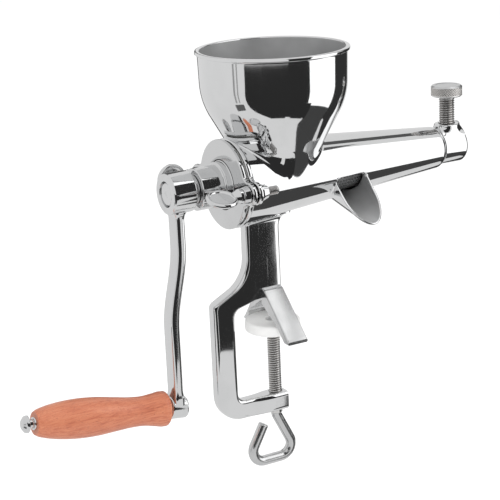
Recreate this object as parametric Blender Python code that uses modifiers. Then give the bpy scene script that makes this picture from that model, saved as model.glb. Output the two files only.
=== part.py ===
"""Hand-cranked auger mill with a table clamp.

+X runs along the barrel to the small outlet end, +Z is up, and the juice spout points to -Y.
The origin is on the clamp screw's axis, in the plane where the upper jaw meets the table top.
All sizes below are in millimetres, and the helpers turn them into metres.
"""
import math

import bmesh
import bpy
from mathutils import Matrix, Vector

MM = 0.001

# Clearance between pieces that touch or slide
GAP = 0.3

# Body
AXIS_HEIGHT = 113.0
BARREL_START_X = -28.1
BARREL_LENGTH = 175.8
BARREL_LARGE_RADIUS = 30.0
BARREL_SMALL_RADIUS = 15.4
BARREL_WALL = 2.5

# Hopper, heights above the barrel's axis
HOPPER_X = 8.3
HOPPER_HEIGHT = 90.8
HOPPER_RADIUS = 52.4
HOPPER_WALL = 1.6
HOPPER_LIP_HEIGHT = 2.8
HOPPER_LIP_WIDTH = 1.6
HOPPER_STRAIGHT = 23.0
HOPPER_BEND_RADIUS = 50.0
HOPPER_DRAFT = math.radians(1.5)
HOPPER_CONE = math.radians(29.0)

# Cover, flange and bearing neck
PLATE_THICKNESS = 3.2
PLATE_RADIUS = BARREL_LARGE_RADIUS + 1.6
EAR_RADIUS = 8.0
EAR_FILLET = 6.0
GASKET_THICKNESS = 1.0
NECK_LENGTH = 22.3
NECK_WALL = 6.8
NECK_COLLAR_WIDTH = 4.5
NECK_COLLAR_HEIGHT = 1.7

# Shaft, bushes and crank washer
SHAFT_RADIUS = 6.0
BUSH_WALL = 1.4
BUSH_LENGTH = 8.0
SEAL_LENGTH = 4.0
THRUST_WASHER_THICKNESS = 1.5
THRUST_WASHER_WIDTH = 7.0
CRANK_WASHER_THICKNESS = 3.4
CRANK_WASHER_WIDTH = 4.7

# Auger and strainer
AUGER_COLLAR_LENGTH = 4.0
AUGER_CORE_LARGE_RADIUS = 9.0
AUGER_CORE_SMALL_RADIUS = 5.5
AUGER_PITCH = 27.0
FLIGHT_THICKNESS = 3.2
AUGER_CLEARANCE = 0.6
AUGER_END_CLEARANCE = 3.5
STRAINER_START = 64.0
STRAINER_WALL = 1.0
STRAINER_HOLE_RADIUS = 1.5
STRAINER_HOLES_ROUND = 8
STRAINER_HOLE_RINGS = 4
JUICE_GAP = 1.8
RING_LENGTH = 4.0

# Juice spout
SPOUT_X = 56.3
SPOUT_RADIUS = 14.2
SPOUT_WALL = 1.6
SPOUT_SLOPE = math.radians(12.4)
SPOUT_REACH = 50.0
SPOUT_SLANT = math.radians(46.0)

# Outlet cap, pressure screw and plug
CAP_LENGTH = 21.0
CAP_RADIUS = 13.4
CAP_ROUND = 3.0
CAP_BOSS_RADIUS = 9.6
CAP_BOSS_HEIGHT = 17.0
PULP_HOLE_RADIUS = 7.5
ADJUSTER_RADIUS = 5.9
ADJUSTER_HEAD_RADIUS = 11.7
ADJUSTER_HEAD_HEIGHT = 8.3
ADJUSTER_EXPOSED = 20.5
PLUG_LENGTH = 5.0
PLUG_STAND_OFF = 5.7

# Crank
CRANK_LENGTH = 155.0
HUB_RADIUS = 14.3
HUB_LENGTH = 17.8
HUB_RECESS_RADIUS = 8.9
HUB_RECESS_DEPTH = 3.6
HUB_WEB = 3.0
SQUARE_SIDE = 8.4
CRANK_SCREW_RADIUS = 3.0
CRANK_SCREW_HEAD = 2.7
ARM_THICKNESS = 7.0
ARM_WIDTH = 14.0
ARM_OFFSET = 8.5
ARM_BEND_START = 38.0
ARM_BEND_LENGTH = 58.0
BOSS_RADIUS = 8.0
BOSS_LENGTH = 13.0

# Grip, which leans up at its free end
GRIP_LEAN = math.radians(7.5)
GRIP_LENGTH = 99.5
GRIP_RADIUS = 13.7
SPINDLE_RADIUS = 3.15
SPINDLE_HEAD_RADIUS = 6.1
SPINDLE_HEAD_LENGTH = 4.5
SPINDLE_EXPOSED = 4.8
GRIP_WASHER_THICKNESS = 1.0

# Thumb screws
EAR_SCREW_RADIUS = 3.0
COLLAR_LENGTH = 4.6
COLLAR_RADIUS = 6.2
SHOULDER_LENGTH = 5.5
SHOULDER_RADIUS = 5.2
PADDLE_RADIUS = 11.2
PADDLE_THICKNESS = 3.6
PADDLE_DISH = 0.8
NEAR_PADDLE_TURN = math.radians(16.0)
FAR_PADDLE_TURN = math.radians(90.0)
NUT_LENGTH = 6.4
NUT_RADIUS = 6.0
STUD_PAST_NUT = 8.5

# Table clamp
FRAME_THICKNESS = 10.0
FRAME_EDGE = 1.6
COLUMN_LEFT = -21.5
COLUMN_RIGHT = 6.3
COLUMN_BOTTOM = 26.0
LEG_OUTER = -50.0
LEG_WIDTH = 17.0
CLAMP_OPENING = 48.5
ARM_DEPTH = 14.0
BOSS_REACH = 9.0
FRAME_LEAN = math.radians(62.0)
FRAME_FLARE_RADIUS = 50.0
FRAME_FLARE_HEIGHT = 16.0
FRAME_HEEL_RADIUS = 20.0
FRAME_SHOULDER_RADIUS = 3.3
FRAME_INNER_RADII = (8.0, 6.0)
FRAME_TIP_RADIUS = 4.0
JAW_RADII = (3.5, 4.0)
JAW_LENGTH_PAST_LEFT = 9.0
JAW_DROP = 5.5
WELD_WIDTH = 8.0
WELD_DEPTH = 12.0
FRAME_IN_BARREL = 9.0
FOOT_WIDTH = 16.0
FOOT_TIP = 2.8
FOOT_LANDING = 6.0
FOOT_ABOVE_JAW = 8.0
FOOT_BELOW_JAW = 4.5
FOOT_CLEAR_OF_PAD = 4.0
FOOT_EDGE = 0.8
NEAR_FOOT_REACH = 39.5
FAR_FOOT_REACH = 31.5
NEAR_FOOT_X = -3.0
FAR_FOOT_X = 2.0

# Clamp screw and pad
SCREW_RADIUS = 4.8
SCREW_LENGTH = 68.0
HOOK_RADIUS = 3.8
HOOK_DEPTH = 36.0
HOOK_WIDTH = 44.0
PAD_RADIUS = 20.2
PAD_THICKNESS = 8.0
PAD_TOP = 7.7
PAD_SCREW_RADIUS = 2.1
PAD_SCREW_HEAD_RADIUS = 5.2
PAD_SCREW_HEAD = 1.9

# Facets around turned pieces
FINE = 36
MEDIUM = 24
COARSE = 18

# Places that follow from the sizes above
BARREL_END_X = BARREL_START_X + BARREL_LENGTH
FLANGE_BACK_X = BARREL_START_X - GAP
FLANGE_FRONT_X = FLANGE_BACK_X - PLATE_THICKNESS
GASKET_BACK_X = FLANGE_FRONT_X - GAP
GASKET_FRONT_X = GASKET_BACK_X - GASKET_THICKNESS
COVER_BACK_X = GASKET_FRONT_X - GAP
COVER_FRONT_X = COVER_BACK_X - PLATE_THICKNESS
NECK_END_X = COVER_FRONT_X - NECK_LENGTH
BUSH_INNER = SHAFT_RADIUS + GAP
BUSH_OUTER = BUSH_INNER + BUSH_WALL
NECK_BORE = BUSH_OUTER + GAP
NECK_RADIUS = NECK_BORE + NECK_WALL
WASHER_END_X = NECK_END_X - GAP - CRANK_WASHER_THICKNESS
HUB_BACK_X = WASHER_END_X - GAP
HUB_FRONT_X = HUB_BACK_X - HUB_LENGTH
RECESS_FLOOR_X = HUB_FRONT_X + HUB_RECESS_DEPTH
SQUARE_END_X = RECESS_FLOOR_X + HUB_WEB
SHAFT_END_X = SQUARE_END_X + GAP
EAR_OFFSET = max(BARREL_LARGE_RADIUS + 2 * GAP + NUT_RADIUS, PLATE_RADIUS + 0.4 * EAR_RADIUS)
EAR_HOLE = EAR_SCREW_RADIUS + 2 * GAP
ARM_TOP_X = HUB_BACK_X - 0.58 * HUB_LENGTH
BOSS_X = ARM_TOP_X - ARM_OFFSET
BOSS_Z = AXIS_HEIGHT - CRANK_LENGTH
CAP_START_X = BARREL_END_X + GAP
CAP_END_X = CAP_START_X + CAP_LENGTH
ADJUSTER_X = CAP_START_X + 0.48 * CAP_LENGTH
LEG_INNER = LEG_OUTER + LEG_WIDTH
ARM_TOP = -CLAMP_OPENING
ARM_BOTTOM = ARM_TOP - ARM_DEPTH
AUGER_START_X = COVER_BACK_X + GAP + THRUST_WASHER_THICKNESS + GAP
FLIGHT_START_X = AUGER_START_X + AUGER_COLLAR_LENGTH
FLIGHT_END_X = BARREL_END_X - AUGER_END_CLEARANCE
STRAINER_START_X = BARREL_START_X + STRAINER_START
STRAINER_END_X = BARREL_END_X - 1.5


def barrel_radius(x):
    """Outer radius of the barrel's even taper."""
    share = (x - BARREL_START_X) / BARREL_LENGTH
    return BARREL_LARGE_RADIUS + share * (BARREL_SMALL_RADIUS - BARREL_LARGE_RADIUS)


def barrel_bore(x):
    return barrel_radius(x) - BARREL_WALL


def strainer_radius(x):
    return barrel_bore(x) - JUICE_GAP


def auger_radius(x):
    return strainer_radius(x) - STRAINER_WALL - AUGER_CLEARANCE


def auger_core(x):
    """Core radius, which shrinks to the outlet."""
    share = (x - FLIGHT_START_X) / (FLIGHT_END_X - FLIGHT_START_X)
    return AUGER_CORE_LARGE_RADIUS + share * (AUGER_CORE_SMALL_RADIUS - AUGER_CORE_LARGE_RADIUS)


# ---------------------------------------------------------------- helpers

def clear_scene():
    for item in list(bpy.data.objects):
        bpy.data.objects.remove(item, do_unlink=True)


def make_collection(name):
    collection = bpy.data.collections.new(name)
    bpy.context.scene.collection.children.link(collection)
    return collection


def make_material(name, colour, roughness, metallic):
    material = bpy.data.materials.new(name)
    material.use_nodes = True
    shader = material.node_tree.nodes["Principled BSDF"]
    shader.inputs["Base Color"].default_value = (*colour, 1.0)
    shader.inputs["Roughness"].default_value = roughness
    shader.inputs["Metallic"].default_value = metallic
    return material


def steel(name, roughness=0.08):
    return make_material(name, (0.80, 0.80, 0.79), roughness, 1.0)


def put(item, x=0.0, y=0.0, z=0.0, turn=(0.0, 0.0, 0.0)):
    item.location = (x * MM, y * MM, z * MM)
    item.rotation_euler = turn
    bpy.context.view_layer.update()
    return item


ALONG_X = (0.0, math.pi / 2, 0.0)
FACING_FRONT = (math.pi / 2, 0.0, 0.0)


def on_axis(item):
    """Place a piece so that its own Z lies on the barrel's axis, pointing to +X."""
    return put(item, z=AXIS_HEIGHT, turn=ALONG_X)


def turned(name, profile, steps, closed=True):
    """Solid of revolution about local Z from (radius, height) points, outer side going down."""
    mesh = bpy.data.meshes.new(name)
    points = [(radius * MM, 0.0, height * MM) for radius, height in profile]
    edges = [(i, i + 1) for i in range(len(points) - 1)]
    if closed:
        edges.append((len(points) - 1, 0))
    mesh.from_pydata(points, edges, [])
    item = bpy.data.objects.new(name, mesh)
    PIECES.objects.link(item)
    screw = item.modifiers.new("turn", "SCREW")
    screw.axis = "Z"
    screw.steps = steps
    screw.render_steps = steps
    screw.use_merge_vertices = True
    screw.merge_threshold = 0.00001
    screw.use_smooth_shade = True
    return item


def ring(name, inner, outer, low, high, steps=COARSE):
    return turned(name, [(outer, high), (outer, low), (inner, low), (inner, high)], steps)


def rod(name, radius, low, high, steps=COARSE):
    return turned(name, [(0, high), (radius, high), (radius, low), (0, low)], steps, closed=False)


def arc(centre_x, centre_y, radius, start, end, count):
    """Points on an arc, both ends included."""
    points = []
    for i in range(count + 1):
        angle = start + (end - start) * i / count
        points.append((centre_x + radius * math.cos(angle), centre_y + radius * math.sin(angle)))
    return points


def rounded(corners, closed=True, count=6):
    """Outline through (x, y, corner radius) points, with each corner turned into an arc."""
    points = []
    total = len(corners)
    for i, (x, y, radius) in enumerate(corners):
        if radius <= 0 or (not closed and i in (0, total - 1)):
            points.append((x, y))
            continue
        corner = Vector((x, y))
        before = (Vector(corners[i - 1][:2]) - corner).normalized()
        after = (Vector(corners[(i + 1) % total][:2]) - corner).normalized()
        half = before.angle(after) / 2
        centre = corner + (before + after).normalized() * (radius / math.sin(half))
        first = corner + before * (radius / math.tan(half)) - centre
        last = corner + after * (radius / math.tan(half)) - centre
        sweep = first.angle_signed(last)
        for step in range(count + 1):
            spoke = first.copy()
            spoke.rotate(Matrix.Rotation(-sweep * step / count, 2))
            points.append(tuple(centre + spoke))
    return points


def curve_object(name, outlines, closed, dimensions):
    curve = bpy.data.curves.new(name, "CURVE")
    curve.dimensions = dimensions
    for outline in outlines:
        spline = curve.splines.new("POLY")
        spline.points.add(len(outline) - 1)
        for point, place in zip(spline.points, outline):
            spot = [value * MM for value in place] + [0.0] * (3 - len(place))
            point.co = (*spot, 1.0)
        spline.use_cyclic_u = closed
    item = bpy.data.objects.new(name, curve)
    PIECES.objects.link(item)
    return item


def as_mesh(item, whole_caps=False):
    """Replace a curve object by a mesh object with welded caps, each one face if whole_caps is set."""
    bpy.context.view_layer.update()
    graph = bpy.context.evaluated_depsgraph_get()
    mesh = bpy.data.meshes.new_from_object(item.evaluated_get(graph))
    name = item.name
    matrix = item.matrix_world.copy()
    bpy.data.objects.remove(item, do_unlink=True)
    shape = bmesh.new()
    shape.from_mesh(mesh)
    bmesh.ops.remove_doubles(shape, verts=shape.verts, dist=0.000001)
    if whole_caps:
        bmesh.ops.dissolve_limit(shape, angle_limit=0.001, verts=shape.verts, edges=shape.edges)
    shape.to_mesh(mesh)
    shape.free()
    solid = bpy.data.objects.new(name, mesh)
    solid.matrix_world = matrix
    PIECES.objects.link(solid)
    return solid


def plate(name, outlines, thickness):
    """Flat piece in local XY, centred on local Z = 0; outlines inside the first one are holes."""
    item = curve_object(name, outlines, True, "2D")
    item.data.fill_mode = "BOTH"
    item.data.extrude = thickness / 2 * MM
    return as_mesh(item, whole_caps=len(outlines) == 1)


def tube_along(name, path, radius):
    item = curve_object(name, [path], False, "3D")
    item.data.bevel_depth = radius * MM
    item.data.bevel_resolution = 2
    item.data.use_fill_caps = True
    return as_mesh(item)


def box(name, low, high):
    mesh = bpy.data.meshes.new(name)
    shape = bmesh.new()
    size = [(b - a) * MM for a, b in zip(low, high)]
    middle = [(a + b) / 2 * MM for a, b in zip(low, high)]
    place = Matrix.Translation(middle) @ Matrix.Diagonal((*size, 1.0))
    bmesh.ops.create_cube(shape, size=1.0, matrix=place)
    shape.to_mesh(mesh)
    shape.free()
    item = bpy.data.objects.new(name, mesh)
    PIECES.objects.link(item)
    return item


def combine(item, tool, operation):
    """Boolean with a tool that is kept aside, hidden and left out of the part."""
    if tool.name not in TOOLS.objects:
        PIECES.objects.unlink(tool)
        TOOLS.objects.link(tool)
        tool.display_type = "WIRE"
        tool.hide_render = True
    step = item.modifiers.new(operation.lower(), "BOOLEAN")
    step.operation = operation
    step.solver = "EXACT"
    step.object = tool
    return item


def cut(item, tool):
    return combine(item, tool, "DIFFERENCE")


def weld(item, tool):
    return combine(item, tool, "UNION")


def round_edges(item, width, segments=2):
    step = item.modifiers.new("edges", "BEVEL")
    step.width = width * MM
    step.segments = segments
    step.limit_method = "ANGLE"
    step.angle_limit = math.radians(50)
    return item


def finish(item, material):
    item.data.materials.clear()
    item.data.materials.append(material)
    return item


# ---------------------------------------------------------------- body

def barrel_solid(name, extra):
    """The barrel's outer cone as a solid, grown by extra, used to trim what is welded to it."""
    ends = (BARREL_START_X - 6.0, BARREL_END_X + 6.0)
    profile = [(0, ends[1])]
    profile.append((barrel_radius(ends[1]) + extra, ends[1]))
    profile.append((barrel_radius(ends[0]) + extra, ends[0]))
    profile.append((0, ends[0]))
    return on_axis(turned(name, profile, FINE, closed=False))


def hopper_outline(inset):
    """Wall from the rim down: a slight draft, a bend, then a cone that ends inside the barrel."""
    radius = HOPPER_RADIUS - inset
    top = HOPPER_HEIGHT
    bend_top = top - HOPPER_STRAIGHT
    bend_radius = HOPPER_BEND_RADIUS - inset
    bend_x = radius - HOPPER_STRAIGHT * math.tan(HOPPER_DRAFT) - bend_radius * math.cos(HOPPER_DRAFT)
    bend_z = bend_top + bend_radius * math.sin(HOPPER_DRAFT)
    points = [(radius, top)]
    points += arc(bend_x, bend_z, bend_radius, -HOPPER_DRAFT, -HOPPER_CONE, 5)
    last_radius, last_height = points[-1]
    end_height = 0.0
    end_radius = last_radius - (last_height - end_height) * math.tan(HOPPER_CONE)
    points.append((end_radius, end_height))
    return points


def build_hopper():
    outer = hopper_outline(0.0)
    inner = hopper_outline(HOPPER_WALL)
    lip_outer = HOPPER_RADIUS + HOPPER_LIP_WIDTH
    lip_low = HOPPER_HEIGHT - HOPPER_LIP_HEIGHT
    lip = [
        (HOPPER_RADIUS, HOPPER_HEIGHT),
        (lip_outer - 0.6, HOPPER_HEIGHT - 0.2),
        (lip_outer, HOPPER_HEIGHT - 1.0),
        (lip_outer, lip_low + 0.6),
        (lip_outer - 0.6, lip_low),
        (HOPPER_RADIUS, lip_low),
    ]
    hopper = turned("hopper", lip + outer[1:] + inner[::-1], FINE)
    put(hopper, x=HOPPER_X, z=AXIS_HEIGHT)
    cut(hopper, barrel_solid("barrel_trim_for_hopper", GAP))
    reach = PLATE_RADIUS + GAP
    flange_trim = rod("flange_trim_for_hopper", reach, COVER_FRONT_X - 1.0, FLANGE_BACK_X + GAP, FINE)
    cut(hopper, on_axis(flange_trim))
    return finish(hopper, steel("hopper_steel", 0.07))


def throat_cutter():
    inner = hopper_outline(HOPPER_WALL)
    profile = [(0, HOPPER_HEIGHT)] + inner + [(0, inner[-1][1])]
    cutter = turned("throat_cutter", profile, FINE, closed=False)
    return put(cutter, x=HOPPER_X, z=AXIS_HEIGHT)


def spout_place(item):
    """Local Z is the spout's axis. Its floor meets the barrel's lowest line under the axis."""
    floor = barrel_radius(SPOUT_X) + 0.3
    height = AXIS_HEIGHT - floor + SPOUT_RADIUS / math.cos(SPOUT_SLOPE)
    return put(item, x=SPOUT_X, z=height, turn=(math.pi / 2 + SPOUT_SLOPE, 0.0, 0.0))


def build_barrel():
    profile = [
        (barrel_radius(BARREL_END_X), BARREL_END_X),
        (barrel_radius(BARREL_START_X), BARREL_START_X),
        (barrel_bore(BARREL_START_X), BARREL_START_X),
        (barrel_bore(BARREL_END_X), BARREL_END_X),
    ]
    barrel = on_axis(turned("barrel", profile, FINE))
    cut(barrel, throat_cutter())
    opening = rod("spout_opening_cutter", SPOUT_RADIUS - SPOUT_WALL, 4.0, SPOUT_REACH + 20.0, MEDIUM)
    cut(barrel, spout_place(opening))
    return finish(barrel, steel("barrel_steel"))


def build_spout():
    spout = ring("juice_spout", SPOUT_RADIUS - SPOUT_WALL, SPOUT_RADIUS, -2.0, SPOUT_REACH + 6.0, FINE)
    spout_place(spout)
    cut(spout, barrel_solid("barrel_trim_for_spout", GAP))
    floor = barrel_radius(SPOUT_X) + SPOUT_REACH * math.tan(SPOUT_SLOPE)
    half = SPOUT_RADIUS + 4.0
    slab = box("spout_slant_cutter", (-half, -90.0, 0.0), (half, 90.0, 60.0))
    turn = (SPOUT_SLANT, 0.0, 0.0)
    cut(spout, put(slab, x=SPOUT_X, y=-SPOUT_REACH, z=AXIS_HEIGHT - floor, turn=turn))
    return finish(spout, steel("spout_steel", 0.07))


def eared_outline():
    """Disc with two round ears along local Y, joined by hollow fillets."""
    disc_reach = PLATE_RADIUS + EAR_FILLET
    ear_reach = EAR_RADIUS + EAR_FILLET
    disc_side = EAR_OFFSET ** 2 + disc_reach ** 2 - ear_reach ** 2
    ear_side = EAR_OFFSET ** 2 + ear_reach ** 2 - disc_reach ** 2
    at_disc = math.acos(disc_side / (2 * EAR_OFFSET * disc_reach))
    at_ear = math.pi - math.acos(ear_side / (2 * EAR_OFFSET * ear_reach))
    points = []
    for heading in (math.pi / 2, 3 * math.pi / 2):
        ear_x = EAR_OFFSET * math.cos(heading)
        ear_y = EAR_OFFSET * math.sin(heading)
        before = heading - at_disc
        after = heading + at_disc
        fillet = (disc_reach * math.cos(before), disc_reach * math.sin(before))
        points += arc(*fillet, EAR_FILLET, before + math.pi, heading - at_ear + math.pi, 4)[1:-1]
        points += arc(ear_x, ear_y, EAR_RADIUS, heading - at_ear, heading + at_ear, 8)
        fillet = (disc_reach * math.cos(after), disc_reach * math.sin(after))
        points += arc(*fillet, EAR_FILLET, heading + at_ear + math.pi, after + math.pi, 4)[1:-1]
        points += arc(0, 0, PLATE_RADIUS, after, heading + math.pi - at_disc, 14)
    return points


def ear_holes():
    return [arc(0, side * EAR_OFFSET, EAR_HOLE, 0, math.tau * 11 / 12, 11) for side in (1, -1)]


def circle(radius, count):
    return arc(0, 0, radius, 0, math.tau * (count - 1) / count, count - 1)


def build_flange():
    opening = circle(barrel_bore(BARREL_START_X), FINE)
    flange = plate("body_flange", [eared_outline(), opening] + ear_holes(), PLATE_THICKNESS)
    put(flange, x=(FLANGE_FRONT_X + FLANGE_BACK_X) / 2, z=AXIS_HEIGHT, turn=ALONG_X)
    return finish(flange, steel("flange_steel"))


def build_gasket():
    outer = PLATE_RADIUS - 3.0
    inner = outer - 4.0
    gasket = ring("cover_gasket", inner, outer, GASKET_FRONT_X, GASKET_BACK_X, MEDIUM)
    return finish(on_axis(gasket), make_material("gasket_rubber", (0.55, 0.55, 0.53), 0.6, 0.0))


def build_cover():
    bore = circle(NECK_BORE, COARSE)
    cover = plate("cover_plate", [eared_outline(), bore] + ear_holes(), PLATE_THICKNESS)
    put(cover, x=(COVER_FRONT_X + COVER_BACK_X) / 2, z=AXIS_HEIGHT, turn=ALONG_X)
    collar = NECK_RADIUS + NECK_COLLAR_HEIGHT
    profile = [
        (collar, COVER_FRONT_X + 1.0),
        (collar, COVER_FRONT_X - NECK_COLLAR_WIDTH),
        (NECK_RADIUS, COVER_FRONT_X - NECK_COLLAR_WIDTH - 1.2),
        (NECK_RADIUS, NECK_END_X + 0.8),
        (NECK_RADIUS - 0.8, NECK_END_X),
        (NECK_BORE, NECK_END_X),
        (NECK_BORE, COVER_FRONT_X + 1.0),
    ]
    weld(cover, on_axis(turned("neck_of_cover", profile, COARSE)))
    return finish(cover, steel("cover_steel", 0.12))


def build_bearings():
    length = BUSH_LENGTH
    outer = on_axis(ring("outer_bush", BUSH_INNER, BUSH_OUTER, NECK_END_X + 0.5, NECK_END_X + length))
    back = COVER_BACK_X - 0.5
    inner = on_axis(ring("inner_bush", BUSH_INNER, BUSH_OUTER, back - length, back))
    bronze = (0.62, 0.42, 0.20)
    finish(outer, make_material("outer_bush_bronze", bronze, 0.35, 1.0))
    finish(inner, make_material("inner_bush_bronze", bronze, 0.35, 1.0))
    seal_end = back - length - GAP
    seal = on_axis(ring("shaft_seal", BUSH_INNER, BUSH_OUTER, seal_end - SEAL_LENGTH, seal_end))
    finish(seal, make_material("seal_rubber", (0.03, 0.03, 0.03), 0.6, 0.0))
    high = AUGER_START_X - GAP
    width = BUSH_INNER + THRUST_WASHER_WIDTH
    thrust = ring("thrust_washer", BUSH_INNER, width, high - THRUST_WASHER_THICKNESS, high)
    finish(on_axis(thrust), make_material("thrust_washer_nylon", (0.85, 0.84, 0.78), 0.45, 0.0))


# ---------------------------------------------------------------- auger and strainer

def flight_solid():
    """Tapered helical blade: a four-cornered section carried along the helix, closed at both ends."""
    turns = (FLIGHT_END_X - FLIGHT_START_X - FLIGHT_THICKNESS) / AUGER_PITCH
    count = int(turns * 14)
    shape = bmesh.new()
    sections = []
    for i in range(count + 1):
        angle = math.tau * turns * i / count
        x = FLIGHT_START_X + AUGER_PITCH * turns * i / count
        tip = auger_radius(x + FLIGHT_THICKNESS)
        root = auger_core(x) - 1.5
        corners = []
        for radius, offset in ((root, 0.0), (tip, 0.9), (tip, FLIGHT_THICKNESS - 0.9), (root, FLIGHT_THICKNESS)):
            place = (radius * math.cos(angle) * MM, radius * math.sin(angle) * MM, (x + offset) * MM)
            corners.append(shape.verts.new(place))
        sections.append(corners)
    for before, after in zip(sections, sections[1:]):
        for k in range(4):
            n = (k + 1) % 4
            shape.faces.new((before[k], before[n], after[n], after[k]))
    shape.faces.new(sections[0][::-1])
    shape.faces.new(sections[-1])
    bmesh.ops.triangulate(shape, faces=shape.faces[:])
    bmesh.ops.recalc_face_normals(shape, faces=shape.faces[:])
    mesh = bpy.data.meshes.new("auger_flight")
    shape.to_mesh(mesh)
    shape.free()
    item = bpy.data.objects.new("auger_flight", mesh)
    PIECES.objects.link(item)
    return on_axis(item)


def build_auger():
    collar = SHAFT_RADIUS + THRUST_WASHER_WIDTH
    end = FLIGHT_END_X + 1.5
    square_corner = SQUARE_SIDE / math.sqrt(2)
    hole = CRANK_SCREW_RADIUS + GAP
    profile = [
        (0, end),
        (AUGER_CORE_SMALL_RADIUS - 1.0, end),
        (AUGER_CORE_SMALL_RADIUS, end - 1.0),
        (AUGER_CORE_LARGE_RADIUS, FLIGHT_START_X),
        (collar, FLIGHT_START_X - 1.0),
        (collar, AUGER_START_X),
        (SHAFT_RADIUS, AUGER_START_X),
        (SHAFT_RADIUS, WASHER_END_X + 0.4),
        (square_corner, WASHER_END_X - 0.1),
        (square_corner, SHAFT_END_X),
        (hole, SHAFT_END_X),
        (hole, SHAFT_END_X + 9.0),
        (0, SHAFT_END_X + 9.0),
    ]
    auger = on_axis(turned("auger", profile, COARSE, closed=False))
    weld(auger, flight_solid())
    half = SQUARE_SIDE / 2
    low = SHAFT_END_X - 2.0
    high = WASHER_END_X
    for index, side in enumerate(((0, 1), (0, -1), (1, 0), (-1, 0))):
        if side[0] == 0:
            ends = sorted((side[1] * half, side[1] * 12.0))
            flat = box("square_flat_%d" % index, (low, -12.0, ends[0]), (high, 12.0, ends[1]))
        else:
            ends = sorted((side[0] * half, side[0] * 12.0))
            flat = box("square_flat_%d" % index, (low, ends[0], -12.0), (high, ends[1], 12.0))
        cut(auger, put(flat, z=AXIS_HEIGHT))
    return finish(auger, steel("auger_steel", 0.25))


def build_strainer():
    low = STRAINER_START_X
    high = STRAINER_END_X
    profile = [
        (strainer_radius(high), high),
        (strainer_radius(low), low),
        (strainer_radius(low) - STRAINER_WALL, low),
        (strainer_radius(high) - STRAINER_WALL, high),
    ]
    strainer = on_axis(turned("strainer", profile, MEDIUM))
    first = low + RING_LENGTH + 6.0
    last = high - RING_LENGTH - 6.0
    for row in range(STRAINER_HOLE_RINGS):
        x = first + (last - first) * row / (STRAINER_HOLE_RINGS - 1)
        for pair in range(STRAINER_HOLES_ROUND // 2):
            angle = math.pi * (pair + 0.5 * (row % 2)) / (STRAINER_HOLES_ROUND // 2)
            drill = rod("strainer_drill_%d_%d" % (row, pair), STRAINER_HOLE_RADIUS, -30.0, 30.0, 6)
            cut(strainer, put(drill, x=x, z=AXIS_HEIGHT, turn=(angle, 0.0, 0.0)))
    finish(strainer, steel("strainer_steel", 0.3))
    for name, start in (("strainer_ring", low), ("outlet_ring", high - RING_LENGTH)):
        stop = start + RING_LENGTH
        seat = [
            (barrel_bore(stop) - GAP, stop),
            (barrel_bore(start) - GAP, start),
            (strainer_radius(start) + GAP, start),
            (strainer_radius(stop) + GAP, stop),
        ]
        finish(on_axis(turned(name, seat, MEDIUM)), steel(name + "_steel", 0.3))


# ---------------------------------------------------------------- outlet

def build_outlet():
    edge = CAP_RADIUS - CAP_ROUND
    corner = arc(edge, CAP_END_X - CAP_ROUND, CAP_ROUND, math.pi / 2, 0.0, 4)
    profile = corner + [
        (CAP_RADIUS, CAP_START_X),
        (PULP_HOLE_RADIUS, CAP_START_X),
        (PULP_HOLE_RADIUS, CAP_END_X),
    ]
    cap = on_axis(turned("outlet_cap", profile, MEDIUM))
    boss_profile = [
        (0, CAP_BOSS_HEIGHT),
        (CAP_BOSS_RADIUS - 1.5, CAP_BOSS_HEIGHT),
        (CAP_BOSS_RADIUS, CAP_BOSS_HEIGHT - 1.5),
        (CAP_BOSS_RADIUS, 9.0),
        (0, 9.0),
    ]
    boss = turned("boss_of_cap", boss_profile, COARSE, closed=False)
    weld(cap, put(boss, x=ADJUSTER_X, z=AXIS_HEIGHT))
    hole = ADJUSTER_RADIUS + GAP
    drill = rod("adjuster_hole_cutter", hole, 0.5, CAP_BOSS_HEIGHT + 5.0)
    cut(cap, put(drill, x=ADJUSTER_X, z=AXIS_HEIGHT))
    finish(cap, steel("cap_steel", 0.12))

    plug_bottom = PLUG_STAND_OFF
    plug_top = plug_bottom + PLUG_LENGTH
    plug_radius = ADJUSTER_RADIUS - 0.4
    plug_profile = [
        (0, plug_top),
        (plug_radius, plug_top),
        (plug_radius, plug_bottom + 1.5),
        (plug_radius - 1.5, plug_bottom),
        (0, plug_bottom),
    ]
    plug = turned("pressure_plug", plug_profile, COARSE, closed=False)
    finish(put(plug, x=ADJUSTER_X, z=AXIS_HEIGHT), steel("plug_steel", 0.25))

    head_low = CAP_BOSS_HEIGHT + ADJUSTER_EXPOSED
    head_high = head_low + ADJUSTER_HEAD_HEIGHT
    head = ADJUSTER_HEAD_RADIUS
    screw_profile = [
        (0, head_high),
        (head - 1.2, head_high),
        (head, head_high - 1.0),
        (head, head_low + 0.8),
        (head - 0.8, head_low),
        (ADJUSTER_RADIUS, head_low),
        (ADJUSTER_RADIUS, plug_top + GAP + 0.8),
        (ADJUSTER_RADIUS - 0.8, plug_top + GAP),
        (0, plug_top + GAP),
    ]
    screw = turned("adjusting_screw", screw_profile, MEDIUM, closed=False)
    finish(put(screw, x=ADJUSTER_X, z=AXIS_HEIGHT), steel("adjusting_screw_steel", 0.22))


# ---------------------------------------------------------------- crank and grip

def arm_centre(depth):
    """X of the arm's middle line at a depth below the crank axis: straight, an easy bend, straight."""
    share = min(max((depth - ARM_BEND_START) / ARM_BEND_LENGTH, 0.0), 1.0)
    return ARM_TOP_X - ARM_OFFSET * share * share * (3 - 2 * share)


def boss_place(item):
    """Local Z is the grip's axis, pointing outward from the middle of the arm's boss."""
    return put(item, x=BOSS_X, z=BOSS_Z, turn=(0.0, -math.pi / 2 + GRIP_LEAN, 0.0))


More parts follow.
